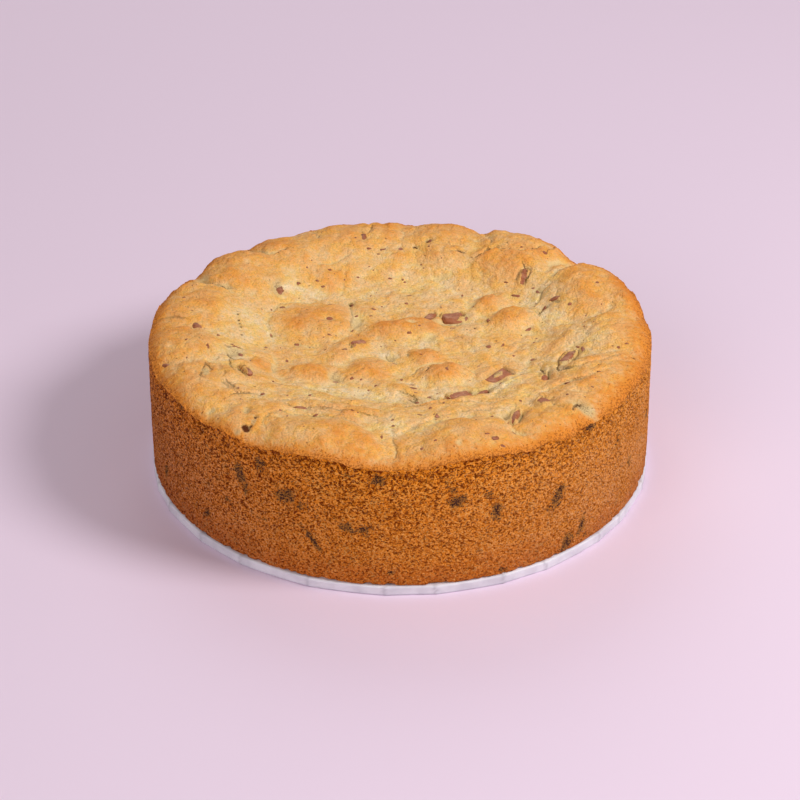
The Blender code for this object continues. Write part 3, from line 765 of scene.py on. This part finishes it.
def sideDetail(x, y, z, around, below):  # depth of every point, its pores, its smears and how near it lies to the darkest bearing
    middling, small, large = side["pores"]
    fine = ease(0.06, 0.3, cloud(x, y, z * 1.35, middling * mm, 82))
    tiny = ease(0.08, 0.32, cloud(x, y, z * 1.2, small * mm, 83))
    holes = 1 - ease(0.3, 0.62, cellGap(x, y, z * 1.8, large * mm, 84))
    nearTop = 0.8 * np.exp(-((below - 5 * mm) / (4 * mm)) ** 2)
    keep = ease(-0.1, 0.2, cloud(x, y, z, 4 * mm, 85))
    burnt = 0.5 + 0.5 * np.cos(around - math.radians(side["darkest"]))
    rimHoles = ease(0.1, 0.32, cloud(x, y, z * 0.7, 1.9 * mm, 91)) * (0.5 + 0.8 * ease(0.1, 0.5, burnt))
    rimHoles *= np.exp(-((below - 1.7 * mm) / (1.5 * mm)) ** 2)
    pore = np.clip(0.6 * fine + 0.4 * tiny + holes * keep * (0.25 + 0.75 * nearTop) + rimHoles, 0, 1.5)
    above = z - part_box("cookie")[0].z
    calm = ease(0, 0.9 * mm, below) * ease(0, 0.5 * mm, above)
    depth = (pore * side["poreDepth"] - waves(x, y, z, side["bumps"], 86)) * calm
    foot = ease(0, 0.45, cloud(x, y, z * 0.5, 2.8 * mm, 90)) * (1 - ease(0.6 * mm, 2.4 * mm, above))
    depth += foot * side["raggedFoot"]
    smear = smeared(x, y, z, around)
    depth += side["smearDepth"] * smear * calm
    return depth * mm, np.maximum(pore, 0.4 * smear), smear, burnt


def smeared(x, y, z, around):  # the chocolate smears, torn at their edges
    smear = np.zeros(x.shape)
    for middle, height, halfLength, halfWidth, lean, amount in smears:
        turn = (np.degrees(around) - middle + 180) % 360 - 180
        near = np.abs(turn) < side["smearReach"]
        along = np.radians(turn[near]) * crust["radius"] / mm
        inside = blot(along, z[near] / mm - height, (0, 0, halfLength, halfWidth, lean), 2)
        smear[near] = np.maximum(smear[near], inside * amount)
    tear = waves(x, y, z, side["tears"], 88)
    return np.clip(1.15 * (smear + 0.5 * tear * smear ** 0.5) - 0.08, 0, 1)


# Finishes

crustLook = {
    "cream": seen(246, 216, 158), "straw": seen(245, 196, 126), "gold": seen(243, 176, 97),
    "amber": seen(236, 153, 72), "brown": seen(212, 122, 48), "valley": seen(234, 202, 142),
    "crack": seen(92, 44, 14), "edge": seen(226, 134, 40), "speck": seen(140, 72, 42),
    "stain": seen(214, 178, 106), "ashen": seen(210, 179, 127), "damp": seen(146, 106, 66),
    "grit": seen(160, 88, 28), "creamier": (0.97, 1.03, 1.28, 1), "golden": (1.0, 0.96, 0.7, 1),
    "dim": (0.78, 0.71, 0.55, 1), "bright": (1.16, 1.22, 1.38, 1),
}


def crustFinish():
    look = crustLook
    made, shader, place = startFinish("bakedCrust")
    cloudy = place.grain(8 * mm, 3) - 0.5
    mottled = place.grain(2.4 * mm, 3) - 0.5
    fine = place.grain(0.8 * mm, 1) - 0.5
    finer = place.grain(0.5 * mm, 1) - 0.5

    # Browning, then a warmer or cooler tint in patches, and light and dark grains
    heat = place.painted("toast") + 0.46 * cloudy + 0.5 * mottled + 0.6 * fine + 0.3 * finer
    colour = heat.ramp((
        (0.1, look["cream"]), (0.34, look["straw"]), (0.6, look["gold"]),
        (0.84, look["amber"]), (1.0, look["brown"]),
    ))
    drift = place.moved((0.3, 0.1, 0.2))
    warmth = drift.grain(7 * mm, 2) + 0.8 * drift.grain(1.8 * mm, 3, 0.6) - 0.4
    colour = colour.tintedBy(warmth.ease(0.3, 0.72).between(look["creamier"], look["golden"]))
    colour = colour.tintedBy((0.5 + 1.8 * fine + 1.2 * finer).between(look["dim"], look["bright"]))

    # Pale valleys, dough stained by chocolate, damp grey dough, and the browned edge
    valley = (place.painted("valley") + 0.5 * mottled + 0.4 * fine).ease(0.1, 0.95)
    colour = (valley * 0.85).between(colour, look["valley"])
    stain = (place.painted("stain") + 0.8 * mottled + 0.8 * fine).ease(0.25, 1.1)
    colour = (stain * 0.55).between(colour, look["stain"])
    ashen = (place.painted("ashen") + 1.2 * mottled + 2.0 * fine + 0.8 * finer).ease(0.2, 0.95)
    colour = (ashen * 0.75).between(colour, look["ashen"])
    damp = (place.painted("ashen") + 1.6 * fine + 1.4 * finer).ease(0.95, 1.25)
    colour = (damp * 0.7).between(colour, look["damp"])
    edge = place.painted("edge") - 0.5 * place.painted("ashen")
    rim = (edge + 0.5 * mottled + 0.4 * fine).ease(0.12, 0.78)
    colour = (rim * 0.9).between(colour, look["edge"])
    grit = (1.1 * edge + 2.0 * fine + 1.6 * finer).ease(0.85, 1.1)
    colour = (grit * 0.7).between(colour, look["grit"])

    # Small dots of chocolate, painted shade in the holes and in the gaps round the chunks, and dark lines of
    # painted shade in the creases
    distance = place.cells(3.1 * mm)
    chance = place.cells(3.1 * mm, 1)
    dots = 1 - (distance + 0.25 * finer - chance * chance * 0.2 + 0.06).ease(0, 0.05)
    colour = (dots * 0.6).between(colour, look["speck"])
    crack = (place.painted("crack") + 0.5 * fine).ease(0.35, 0.85)
    colour = crack.between(colour, look["crack"])
    # a thin line of painted shade along each crease
    thin = (place.painted("gap") + 0.9 * fine).maths("ABSOLUTE")
    line = (1 - thin.ease(0.15, 0.5)) * place.painted("ink")
    colour = line.between(colour, look["crack"])

    rough = 0.62 + 0.2 * place.grain(1.2 * mm, 2)
    bump = (0.35 * fine + 0.6 * mottled - 0.2 * dots - 0.4 * line).bump(1, 1.5 * mm)
    feed(shader, {"Base Color": colour, "Roughness": rough, "Normal": bump, "Specular IOR Level": 0.14})
    return made


sideLook = {
    "dark": seen(104, 42, 0), "brown": seen(198, 113, 28), "tan": seen(214, 133, 48),
    "light": seen(230, 162, 92), "red": seen(178, 90, 34), "orange": seen(222, 136, 38),
    "poreShade": seen(118, 46, 0), "paintedGlint": seen(232, 176, 108), "smear": seen(56, 28, 32),
    "ash": seen(140, 104, 54), "high": (1.17, 1.18, 0.86, 1),
    "paintedLitSide": (0.97, 1.04, 1.6, 1), "frontSide": (1.06, 1.0, 0.88, 1), "darkSide": (0.8, 0.7, 1.08, 1),
}


def sideFinish():
    look = sideLook
    made, shader, place = startFinish("crumbSide")
    cloudy = place.grain(14 * mm, 3) - 0.5
    patchy = place.grain(4 * mm, 2) - 0.5
    crumb = place.moved(stretch=(1, 1, 1.3)).grain(0.85 * mm, 2, 0.6) - 0.5
    finer = place.grain(0.5 * mm, 1) - 0.5
    share = place.painted("share")
    burnt = place.painted("burnt")
    squash = (1, 1, 1.2)

    # Browning, redder at the foot and more orange near the top
    strong = (1.2 - 0.25 * share) * (0.6 + 0.6 * burnt)
    grainy = strong * (1.6 * crumb + 0.9 * finer)
    # darker where the mesh has pores: painted shade in them
    heat = 0.64 + 0.3 * cloudy + 0.25 * patchy + grainy - 0.18 * place.painted("pore")
    colour = heat.ramp((
        (0.14, look["dark"]), (0.42, look["brown"]), (0.62, look["tan"]), (0.92, look["light"]),
    ))
    low = (share + 0.4 * cloudy).ease(0.7, 1)
    colour = (low * 0.55).between(colour, look["red"])
    band = 1 - (share + 0.25 * cloudy + 0.1 * patchy).ease(0, 0.25)
    colour = (band * 0.3).between(colour, look["orange"])
    top = 1 - (share + 0.1 * crumb).ease(0.005, 0.04)
    colour = (top * 0.5).between(colour, look["orange"])
    colour = colour.tintedBy(share.ease(0, 0.7).between(look["high"], (1, 1, 1, 1)))

    # Torn holes and small specks, darkened with painted shade in the pores, and light glints that are
    # painted highlights
    torn = place.moved((0.2, 0.5, 0.1), squash).grain(1.5 * mm, 2, 0.6) + 0.3 * finer
    holes = (torn + 0.1 * place.painted("pore").ease(0.9, 1.5) - 0.16 * share).ease(0.535, 0.61)
    deep = holes * (0.95 - 0.25 * share) * (0.7 + 0.3 * burnt.ease(0.1, 0.5))
    colour = deep.between(colour, look["poreShade"])
    specks = (place.moved((0.4, 0.1, 0.7), squash).grain(0.95 * mm, 1) + 0.3 * finer).ease(0.54, 0.65)
    colour = (specks * strong * 0.85).between(colour, look["poreShade"])
    # painted highlights: small light glints on the crumb
    paintedGlints = (place.moved((0.6, 0.3, 0.2), squash).grain(0.8 * mm, 1) + 0.3 * finer).ease(0.6, 0.72)
    colour = (paintedGlints * 0.45).between(colour, look["paintedGlint"])

    # Painted light, paler and bluer to the right, then darker to the left, and the smears over it all
    toFront = burnt.ease(0.1, 0.63).between(look["paintedLitSide"], look["frontSide"])
    colour = colour.tintedBy(burnt.ease(0.7, 1.05).between(toFront, look["darkSide"]))
    smear = place.painted("smear")
    colour = ((smear + 0.8 * patchy + crumb).ease(0.05, 0.45) * 0.6).between(colour, look["ash"])
    smudge = (0.9 * smear + 3.4 * crumb + 2.2 * finer).ease(0.42, 0.6)
    colour = (smudge * smear.ease(0, 0.2) * 0.9).between(colour, look["smear"])

    bump = (0.6 * crumb + 0.15 * finer - 0.5 * holes - 0.2 * specks).bump(0.8, 1.2 * mm)
    feed(shader, {"Base Color": colour, "Roughness": 0.85, "Normal": bump, "Specular IOR Level": 0.08})
    return made


chocolateLook = {"milk": seen(168, 98, 62), "dull": seen(194, 134, 100), "deep": seen(106, 54, 28)}


def chocolateFinish(name, darker=0.0):
    look = chocolateLook
    made, shader, place = startFinish(name)
    colour = place.grain(2.5 * mm, 3).ease(0.4, 0.75).between(look["milk"], look["dull"])
    deep = place.grain(1.1 * mm, 2).ease(0.5, 0.75) * 0.5 + darker
    colour = deep.between(colour, look["deep"])
    bump = place.grain(0.8 * mm, 3).bump(0.4, 0.3 * mm)
    feed(shader, {"Base Color": colour, "Roughness": 0.5, "Normal": bump, "Specular IOR Level": 0.35})
    return made


# Chocolate

chunkForm = {"cuts": 3, "smoothing": 0.2, "rough": 0.35 * mm, "grainSize": 2.4 * mm}


def makeChunk(name, number):  # the solid chunk, cut finer and roughened
    bm = mergedCopy([name])
    bmesh.ops.subdivide_edges(bm, edges=bm.edges[:], cuts=chunkForm["cuts"], use_grid_fill=True)
    soft = chunkForm["smoothing"]
    bmesh.ops.smooth_vert(bm, verts=bm.verts, factor=soft, use_axis_x=True, use_axis_y=True, use_axis_z=True)
    bm.normal_update()
    for vert in bm.verts:
        spot = vert.co / chunkForm["grainSize"] + Vector((number * 3.1, 0, 0))
        vert.co += vert.normal * noise.noise(spot) * chunkForm["rough"]
    return bm


# Chips of chocolate that show in the crust: across, away, length, width, turn
chips = (
    (-49.8, 40.8, 6, 3, 70), (-42.3, 48.9, 2.4, 1.6, 60), (-32.4, 48.9, 2, 1.3, 0),
    (-34.1, 51.6, 1.5, 1.1, 0), (-29.5, 57.8, 2.2, 1.3, 0), (-38.4, 58.1, 1.4, 1.1, 0),
    (-48.4, 31.8, 2.8, 1.7, 20), (-29.2, 20.6, 3, 2.2, 10), (-29, 34.5, 2.8, 1.4, -10),
    (-20.2, 38.8, 3.4, 1.5, 85), (-15.4, 78.6, 5.4, 2.3, 80), (-81.8, 3.4, 5, 3, 100),
    (-12.6, 72.5, 2, 1.2, 0), (-8.9, 69.7, 1.7, 1.2, 0), (-7.4, 73.4, 3, 1.2, 30),
    (-34.3, 81.2, 1.6, 1.4, 0), (0.2, 73.4, 2.6, 1.6, -60), (8.4, 64.6, 1.4, 1, 0),
    (9.6, 62.6, 1.5, 1, -40), (1.6, 56, 1.4, 1.2, 0), (12.2, 78, 2.6, 2, 20), (60.9, 64.5, 2.6, 1.7, 20),
    (50.7, 67.8, 1.8, 1.5, 60), (48.1, 40.5, 3, 1.5, -20), (37.9, 43.8, 2.6, 1.3, 25),
    (44, 48.9, 1.8, 1, -20), (55.2, 43.3, 1.8, 1, 0), (56.9, 40.6, 4.4, 1.2, -70),
    (63.2, 30.9, 4, 1.9, -12), (58.1, 27, 3.8, 1.4, 40), (69.4, 24.3, 1.9, 1.8, 0),
    (51.6, 14.9, 4.6, 1.6, 32), (26.6, 26.4, 5, 1.6, 82), (2.8, 43.8, 6, 0.8, 16), (2.4, 37.6, 1.6, 1.4, 0),
    (35.6, -0.1, 3.1, 2.5, 0), (40.6, 0.6, 4.4, 0.9, 60), (45.2, -6.2, 1.4, 1.6, 0),
    (52.6, -9.9, 2.6, 1.6, 0), (74.2, 11.4, 2.8, 1.5, -5), (78.6, 10.2, 1.3, 1.8, 0),
    (73.6, 4.4, 1.1, 2, 0), (86, -14.2, 2, 1.8, 20), (89.4, -12.4, 1.6, 1.3, 0), (77.5, -36.8, 1.9, 1.5, 0),
    (74.6, -48.3, 1.6, 0.8, -50), (66.6, -41, 4, 0.8, 10), (64.6, -54.6, 1.4, 1.7, 0),
    (43.2, -80, 2.6, 1.4, -20), (36, -87, 3.2, 1.8, 20), (32.8, -85.6, 1.7, 1, 0), (38.4, -90, 2.6, 1, -20),
    (8.2, -91.6, 2, 1.7, 0), (39, -31.5, 4.6, 1, 80), (37.2, -26.8, 2, 1.2, 40), (4.6, -29.2, 2.8, 1.2, 20),
    (5.2, -32.6, 4.2, 1.6, 22), (6.4, -36, 2.2, 0.9, 0), (14.2, -36.2, 1.5, 1, 0),
    (0.8, -24.8, 1.1, 2.6, 0), (-9.3, -30.8, 1.3, 2.6, 0), (-12.9, -33.4, 1.9, 1.2, 0),
    (-19, -25.2, 1.9, 1.7, 0), (-25, -26.2, 3.4, 1.6, 12), (-22.2, -3, 1.9, 1.4, 0),
    (-54.1, -1.3, 1.4, 2.6, 0), (-2.4, -12, 3, 0.9, -15), (18.6, -22.9, 1.8, 1.8, 0),
    (-45.2, -10.7, 1.3, 2.5, -10), (-41.2, 3.6, 1.7, 2.8, 0), (-84.4, -12.4, 1.1, 2.1, 0),
    (-76.1, -15.2, 1.2, 2.6, 10), (-91.6, -27, 4, 2.1, -35), (-52.8, -48.5, 1.7, 2.2, 0),
    (-62.3, -47.2, 1, 2, 0), (-35, -47, 1.5, 1.7, 0), (-38.4, -58.9, 4.4, 1.5, -5),
    (-32.1, -64.6, 2.3, 1.1, 35), (-18.4, -62.6, 2.6, 1, -20), (-22.5, -64.4, 1.2, 1.6, 0),
    (-16.4, -65.2, 1.1, 0.9, 0), (-45.5, -63, 1.6, 1, 0), (-43, -68, 0.7, 3.6, 0), (-3, -69.6, 1.3, 1.7, 0),
    (-2.7, -73, 1.6, 2, 0), (-7, -81, 0.9, 2.8, 0), (14.2, -64.4, 3, 1.9, 40), (7.6, -64, 2.6, 1.2, 0),
    (13.6, -67, 1.8, 0.9, 20), (12, -57.2, 1.5, 1.8, 0), (11, -38.4, 3.4, 1, -15),
    (15.4, -42.6, 1.8, 1.4, 0), (17.6, -40.4, 1.6, 1.2, 30), (6.6, -42.6, 1.4, 1.4, 0),
    (46.4, -53.2, 1.3, 2.2, 0), (35, -66.4, 1, 2.8, 0), (29, -74.6, 1, 2, 0), (14, -47, 1, 4.6, 4),
    (16.8, -46.4, 0.9, 3.6, 0), (12.6, -43.6, 1.3, 2, 0), (19.2, -48.6, 1, 4.2, 0),
    (16.6, -53.4, 1.1, 1.5, 0), (-17.8, 56.2, 1.6, 1.2, 0), (-23.2, 54.4, 1.5, 1.2, 0),
    (-11.4, 60.8, 1.1, 1, 0), (-10.8, 32.2, 1.7, 1.4, 0), (-12.2, 26.8, 1.1, 1.1, 0),
    (-18, 27.6, 1.3, 1.7, 0), (-19.4, 15.4, 1.6, 1.4, 0), (-52.6, 11, 1.6, 2.2, 0), (-3.6, 56.2, 2, 0.8, 0),
    (4, 9.8, 1.7, 1.4, 0), (8, 14.4, 1.6, 1, 0), (21, 16.4, 2.6, 1, 0), (-63, -14.6, 1.8, 3, 10),
    (-66, -7.4, 4.2, 1.5, -10), (-56.4, 27.4, 1.2, 1.1, 0), (-52.6, 28.6, 1, 2.2, 0), (-77, 40, 1, 1.3, 0),
    (80.6, 33.8, 1.3, 1.3, 0), (30.4, 33.8, 1, 1.6, 0), (36, 22.8, 1.4, 4, 0), (73, -13, 1.4, 4.2, 10),
    (70.4, -8.6, 3.4, 1.2, -40), (25.8, 44.6, 1.1, 1.9, 0), (17, 32.6, 1.1, 1.1, 0), (54, 4.2, 1.2, 2.2, 0),
    (55.2, 8.2, 1.3, 1, 0), (-30, -41, 0.9, 1.2, 0), (70.8, -56, 1, 1.4, 0),
)

flecks = {
    "count": 170,
    "shortest": 0.5, "longest": 1.5,  # in mm
    "inside": 96 * mm,  # they lie no further out than this
    "patch": 22 * mm,  # across the patches where they crowd
    "sink": 0.22,  # how deep they lie, in their own thickness
    "swell": 1.2,  # share of the listed size
    "thickness": 0.4,  # share of the shorter side
    "rough": 0.9,
    "seed": 3,
}


def makeFlecks(x, y, height):  # the chips, and smaller flecks scattered between them
    draw = random.Random(flecks["seed"])
    bm = bmesh.new()
    surface = np.stack([x, y, height], -1)
    for across, away, length, width, turn in chips:
        far = (x - across * mm) ** 2 + (y - away * mm) ** 2
        layFleck(bm, surface, np.unravel_index(np.argmin(far), far.shape), (length, width), turn, draw)
    cells = crust["cells"]
    placed = 0
    while placed < flecks["count"]:
        row, column = draw.randrange(8, cells - 8), draw.randrange(8, cells - 8)
        spot = Vector((x[row, column], y[row, column], 0))
        crowded = 0.5 + noise.noise(spot / flecks["patch"] + Vector((7, 3, 1)))
        if spot.length > flecks["inside"] or draw.random() > crowded:
            continue
        placed += 1
        length = flecks["shortest"] + (flecks["longest"] - flecks["shortest"]) * draw.random() ** 2.2
        size = (length, length * draw.uniform(0.45, 0.9))
        layFleck(bm, surface, (row, column), size, draw.uniform(0, 180), draw)
    return bm


def layFleck(bm, surface, place, size, turn, draw):  # one rough grain, flat on the crust
    row, column = place
    step = 2
    spot = Vector(surface[row, column])
    right = Vector(surface[row, min(column + step, crust["cells"])]) - spot
    ahead = Vector(surface[min(row + step, crust["cells"]), column]) - spot
    normal = right.cross(ahead).normalized()
    if normal.z < 0:
        normal.negate()
    length, width = size[0] * flecks["swell"], size[1] * flecks["swell"]
    thick = min(length, width) * flecks["thickness"]
    lean = Vector((0, 0, 1)).rotation_difference(normal).to_matrix().to_4x4()
    spun = Matrix.Rotation(math.radians(turn), 4, "Z")
    form = Matrix.Diagonal((length / 2 * mm, width / 2 * mm, thick / 2 * mm, 1))
    laid = Matrix.Translation(spot - normal * thick * flecks["sink"] * mm) @ lean @ spun @ form
    fineness = 2 if max(size) > 2.4 else 1
    made = bmesh.ops.create_icosphere(bm, subdivisions=fineness, radius=1, matrix=laid)["verts"]
    bend = Vector([draw.uniform(-9, 9) for _ in range(3)])
    for vert in made:
        push = noise.noise(vert.co / (min(size) * 0.9 * mm) + bend)
        vert.co += (vert.co - spot) * push * flecks["rough"]


# Board

board = {
    "around": 720,  # points round its edge
    "pleats": 26,
    "uneven": 0.3,  # how far a pleat strays, as a share of their spacing
    "step": 0.22 * mm,  # how far the paper steps out at a pleat
    "stepLength": 3 * mm,  # and over what length it falls back
    "flat": 0.45 * mm,  # how far the paper runs inside the circle between two pleats
    "sway": 0.012,  # how far a pleat leans to and fro, in radians
    "foldShadeWidth": 0.7 * mm,  # of the grey line of painted shade at a pleat
    "seed": 9,
}

# How far in from the edge the wrapped paper lies, and at what height, in mm, from the underside up
boardProfile = (
    (1.2, 0), (0.35, 0.05), (0, 0.5), (0.02, 1), (0, 2), (0.03, 3), (0, 3.5), (0.35, 3.95), (1.2, 4),
)


def makeBoard():  # flat between its pleats, with a small step at each
    low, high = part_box("cake_board")
    radius, thick = (high.x - low.x) / 2, high.z - low.z
    whole = 2 * math.pi
    bm = bmesh.new()
    bmesh.ops.create_circle(bm, segments=board["around"], radius=1)
    edges = bm.edges[:]
    rings = [bm.verts[:]]
    for _ in boardProfile[1:]:
        edges, ring = pulledOut(bm, edges)
        rings.append(ring)
    draw = random.Random(board["seed"])
    strays = [draw.uniform(-board["uneven"], board["uneven"]) for _ in range(board["pleats"])]
    pleats = [(number + stray) * (whole / board["pleats"]) for number, stray in enumerate(strays)]
    top = boardProfile[-1][1]
    foldShades = {}
    for ring, (inset, height) in zip(rings, boardProfile):
        for vert in ring:
            angle = math.atan2(vert.co.y, vert.co.x)
            bearing = angle % whole
            spot = Vector((math.cos(bearing), math.sin(bearing), height))
            bearing += board["sway"] * noise.noise(spot * 4)
            since = min((bearing - pleat) % whole for pleat in pleats)
            until = min((pleat - bearing) % whole for pleat in pleats)
            part = since / (since + until)
            step = board["step"] * math.exp(-since * radius / board["stepLength"])
            reach = radius - inset * mm - board["step"] + step - board["flat"] * 4 * part * (1 - part)
            foldShades[vert] = math.exp(-(min(since, until) * radius / board["foldShadeWidth"]) ** 2)
            vert.co = (reach * math.cos(angle), reach * math.sin(angle), height * thick / top)
    bmesh.ops.contextual_create(bm, geom=edges)
    bmesh.ops.contextual_create(bm, geom=[edge for edge in bm.edges if edge.is_boundary])
    bmesh.ops.recalc_face_normals(bm, faces=bm.faces)
    bm.verts.ensure_lookup_table()
    return bm, {"fold": np.array([foldShades[vert] for vert in bm.verts])}


boardLook = {"paper": seen(230, 226, 234), "shade": seen(210, 205, 215), "fold": seen(180, 174, 184)}


def boardFinish():
    look = boardLook
    made, shader, place = startFinish("wrappedPaper")
    colour = place.grain(9 * mm, 3).ease(0.35, 0.7).between(look["paper"], look["shade"])
    # painted shade along the fold of each pleat
    colour = (place.painted("fold") * 0.6).between(colour, look["fold"])
    bump = (0.6 * place.grain(0.9 * mm, 2) + 0.4 * place.grain(3 * mm, 2)).bump(0.4, 0.2 * mm)
    feed(shader, {"Base Color": colour, "Roughness": 0.5, "Normal": bump})
    return made


crustBm, crustX, crustY, crustZ, crustFields = makeCrust()
flecksBm = makeFlecks(crustX, crustY, crustZ)
sideBm, sideFields = makeSide(crustX, crustY, crustZ)
addPiece("crustTop", crustBm, crustFinish(), ["cookie"], crustFields)
print("crust made")
addPiece("crumbSide", sideBm, sideFinish(), ["cookie"], sideFields)
print("side made")

chocolate = chocolateFinish("milkChocolate")
for number, name in enumerate(chunkNames):
    addPiece(name + "_broken", makeChunk(name, number), chocolate, [name])
addPiece("chocolateFlecks", flecksBm, chocolateFinish("fleckChocolate", 0.2), [])
print("chocolate made")

boardBm, boardFields = makeBoard()
addPiece("wrappedBoard", boardBm, boardFinish(), ["cake_board"], boardFields)
print("board made")


# Studio

studio = {
    "target": Vector((0, 0, 25.8 * mm)),  # what the camera and the lamps look at
    "distance": 1.208,
    "down": math.radians(31.5),  # how steeply the camera looks down
    "zoom": 2978 / 800,  # focal length, in widths of the picture
    "floor": seen(236, 214, 232),
    "sky": (0.96, 0.9, 0.92, 1), "skyLevel": 0.25,
}

# Lamps: place, width, power
lamps = {
    "key": ((0.95, -0.35, 0.95), 0.5, 12.9),
    "fill": ((-0.65, -1.2, 0.75), 1.2, 7.8),
    "back": ((-0.2, 1.1, 0.9), 1.0, 4),
}


def addLight(name, place, size, power):
    lamp = bpy.data.lights.new(name, "AREA")
    lamp.shape = "DISK"
    lamp.size = size
    lamp.energy = power
    thing = setOut(name, lamp)
    thing.location = place
    thing.rotation_euler = (studio["target"] - Vector(place)).to_track_quat("-Z", "Y").to_euler()


def makeStudio():
    bm = bmesh.new()
    bmesh.ops.create_grid(bm, x_segments=1, y_segments=1, size=4)
    mesh = bpy.data.meshes.new("floor")
    bm.to_mesh(mesh)
    bm.free()
    made, shader, _ = startFinish("floorPaper")
    feed(shader, {"Base Color": studio["floor"], "Roughness": 0.8})
    mesh.materials.append(made)
    floor = setOut("floor", mesh)
    for name, lamp in lamps.items():
        addLight(name, *lamp)
    world = bpy.data.worlds.new("studio")
    world.use_nodes = True
    feed(world.node_tree.nodes["Background"], {"Color": studio["sky"], "Strength": studio["skyLevel"]})
    bpy.context.scene.world = world
    lens = bpy.data.cameras.new("camera")
    lens.sensor_width = 36
    lens.lens = 36 * studio["zoom"]
    lens.clip_start = 0.01
    camera = setOut("camera", lens)
    away = Vector((0, -math.cos(studio["down"]), math.sin(studio["down"])))
    camera.location = studio["target"] + away * studio["distance"]
    camera.rotation_euler = (math.pi / 2 - studio["down"], 0, 0)
    bpy.context.scene.camera = camera
    bpy.context.scene.view_settings.view_transform = "Standard"


makeStudio()
print("studio set")
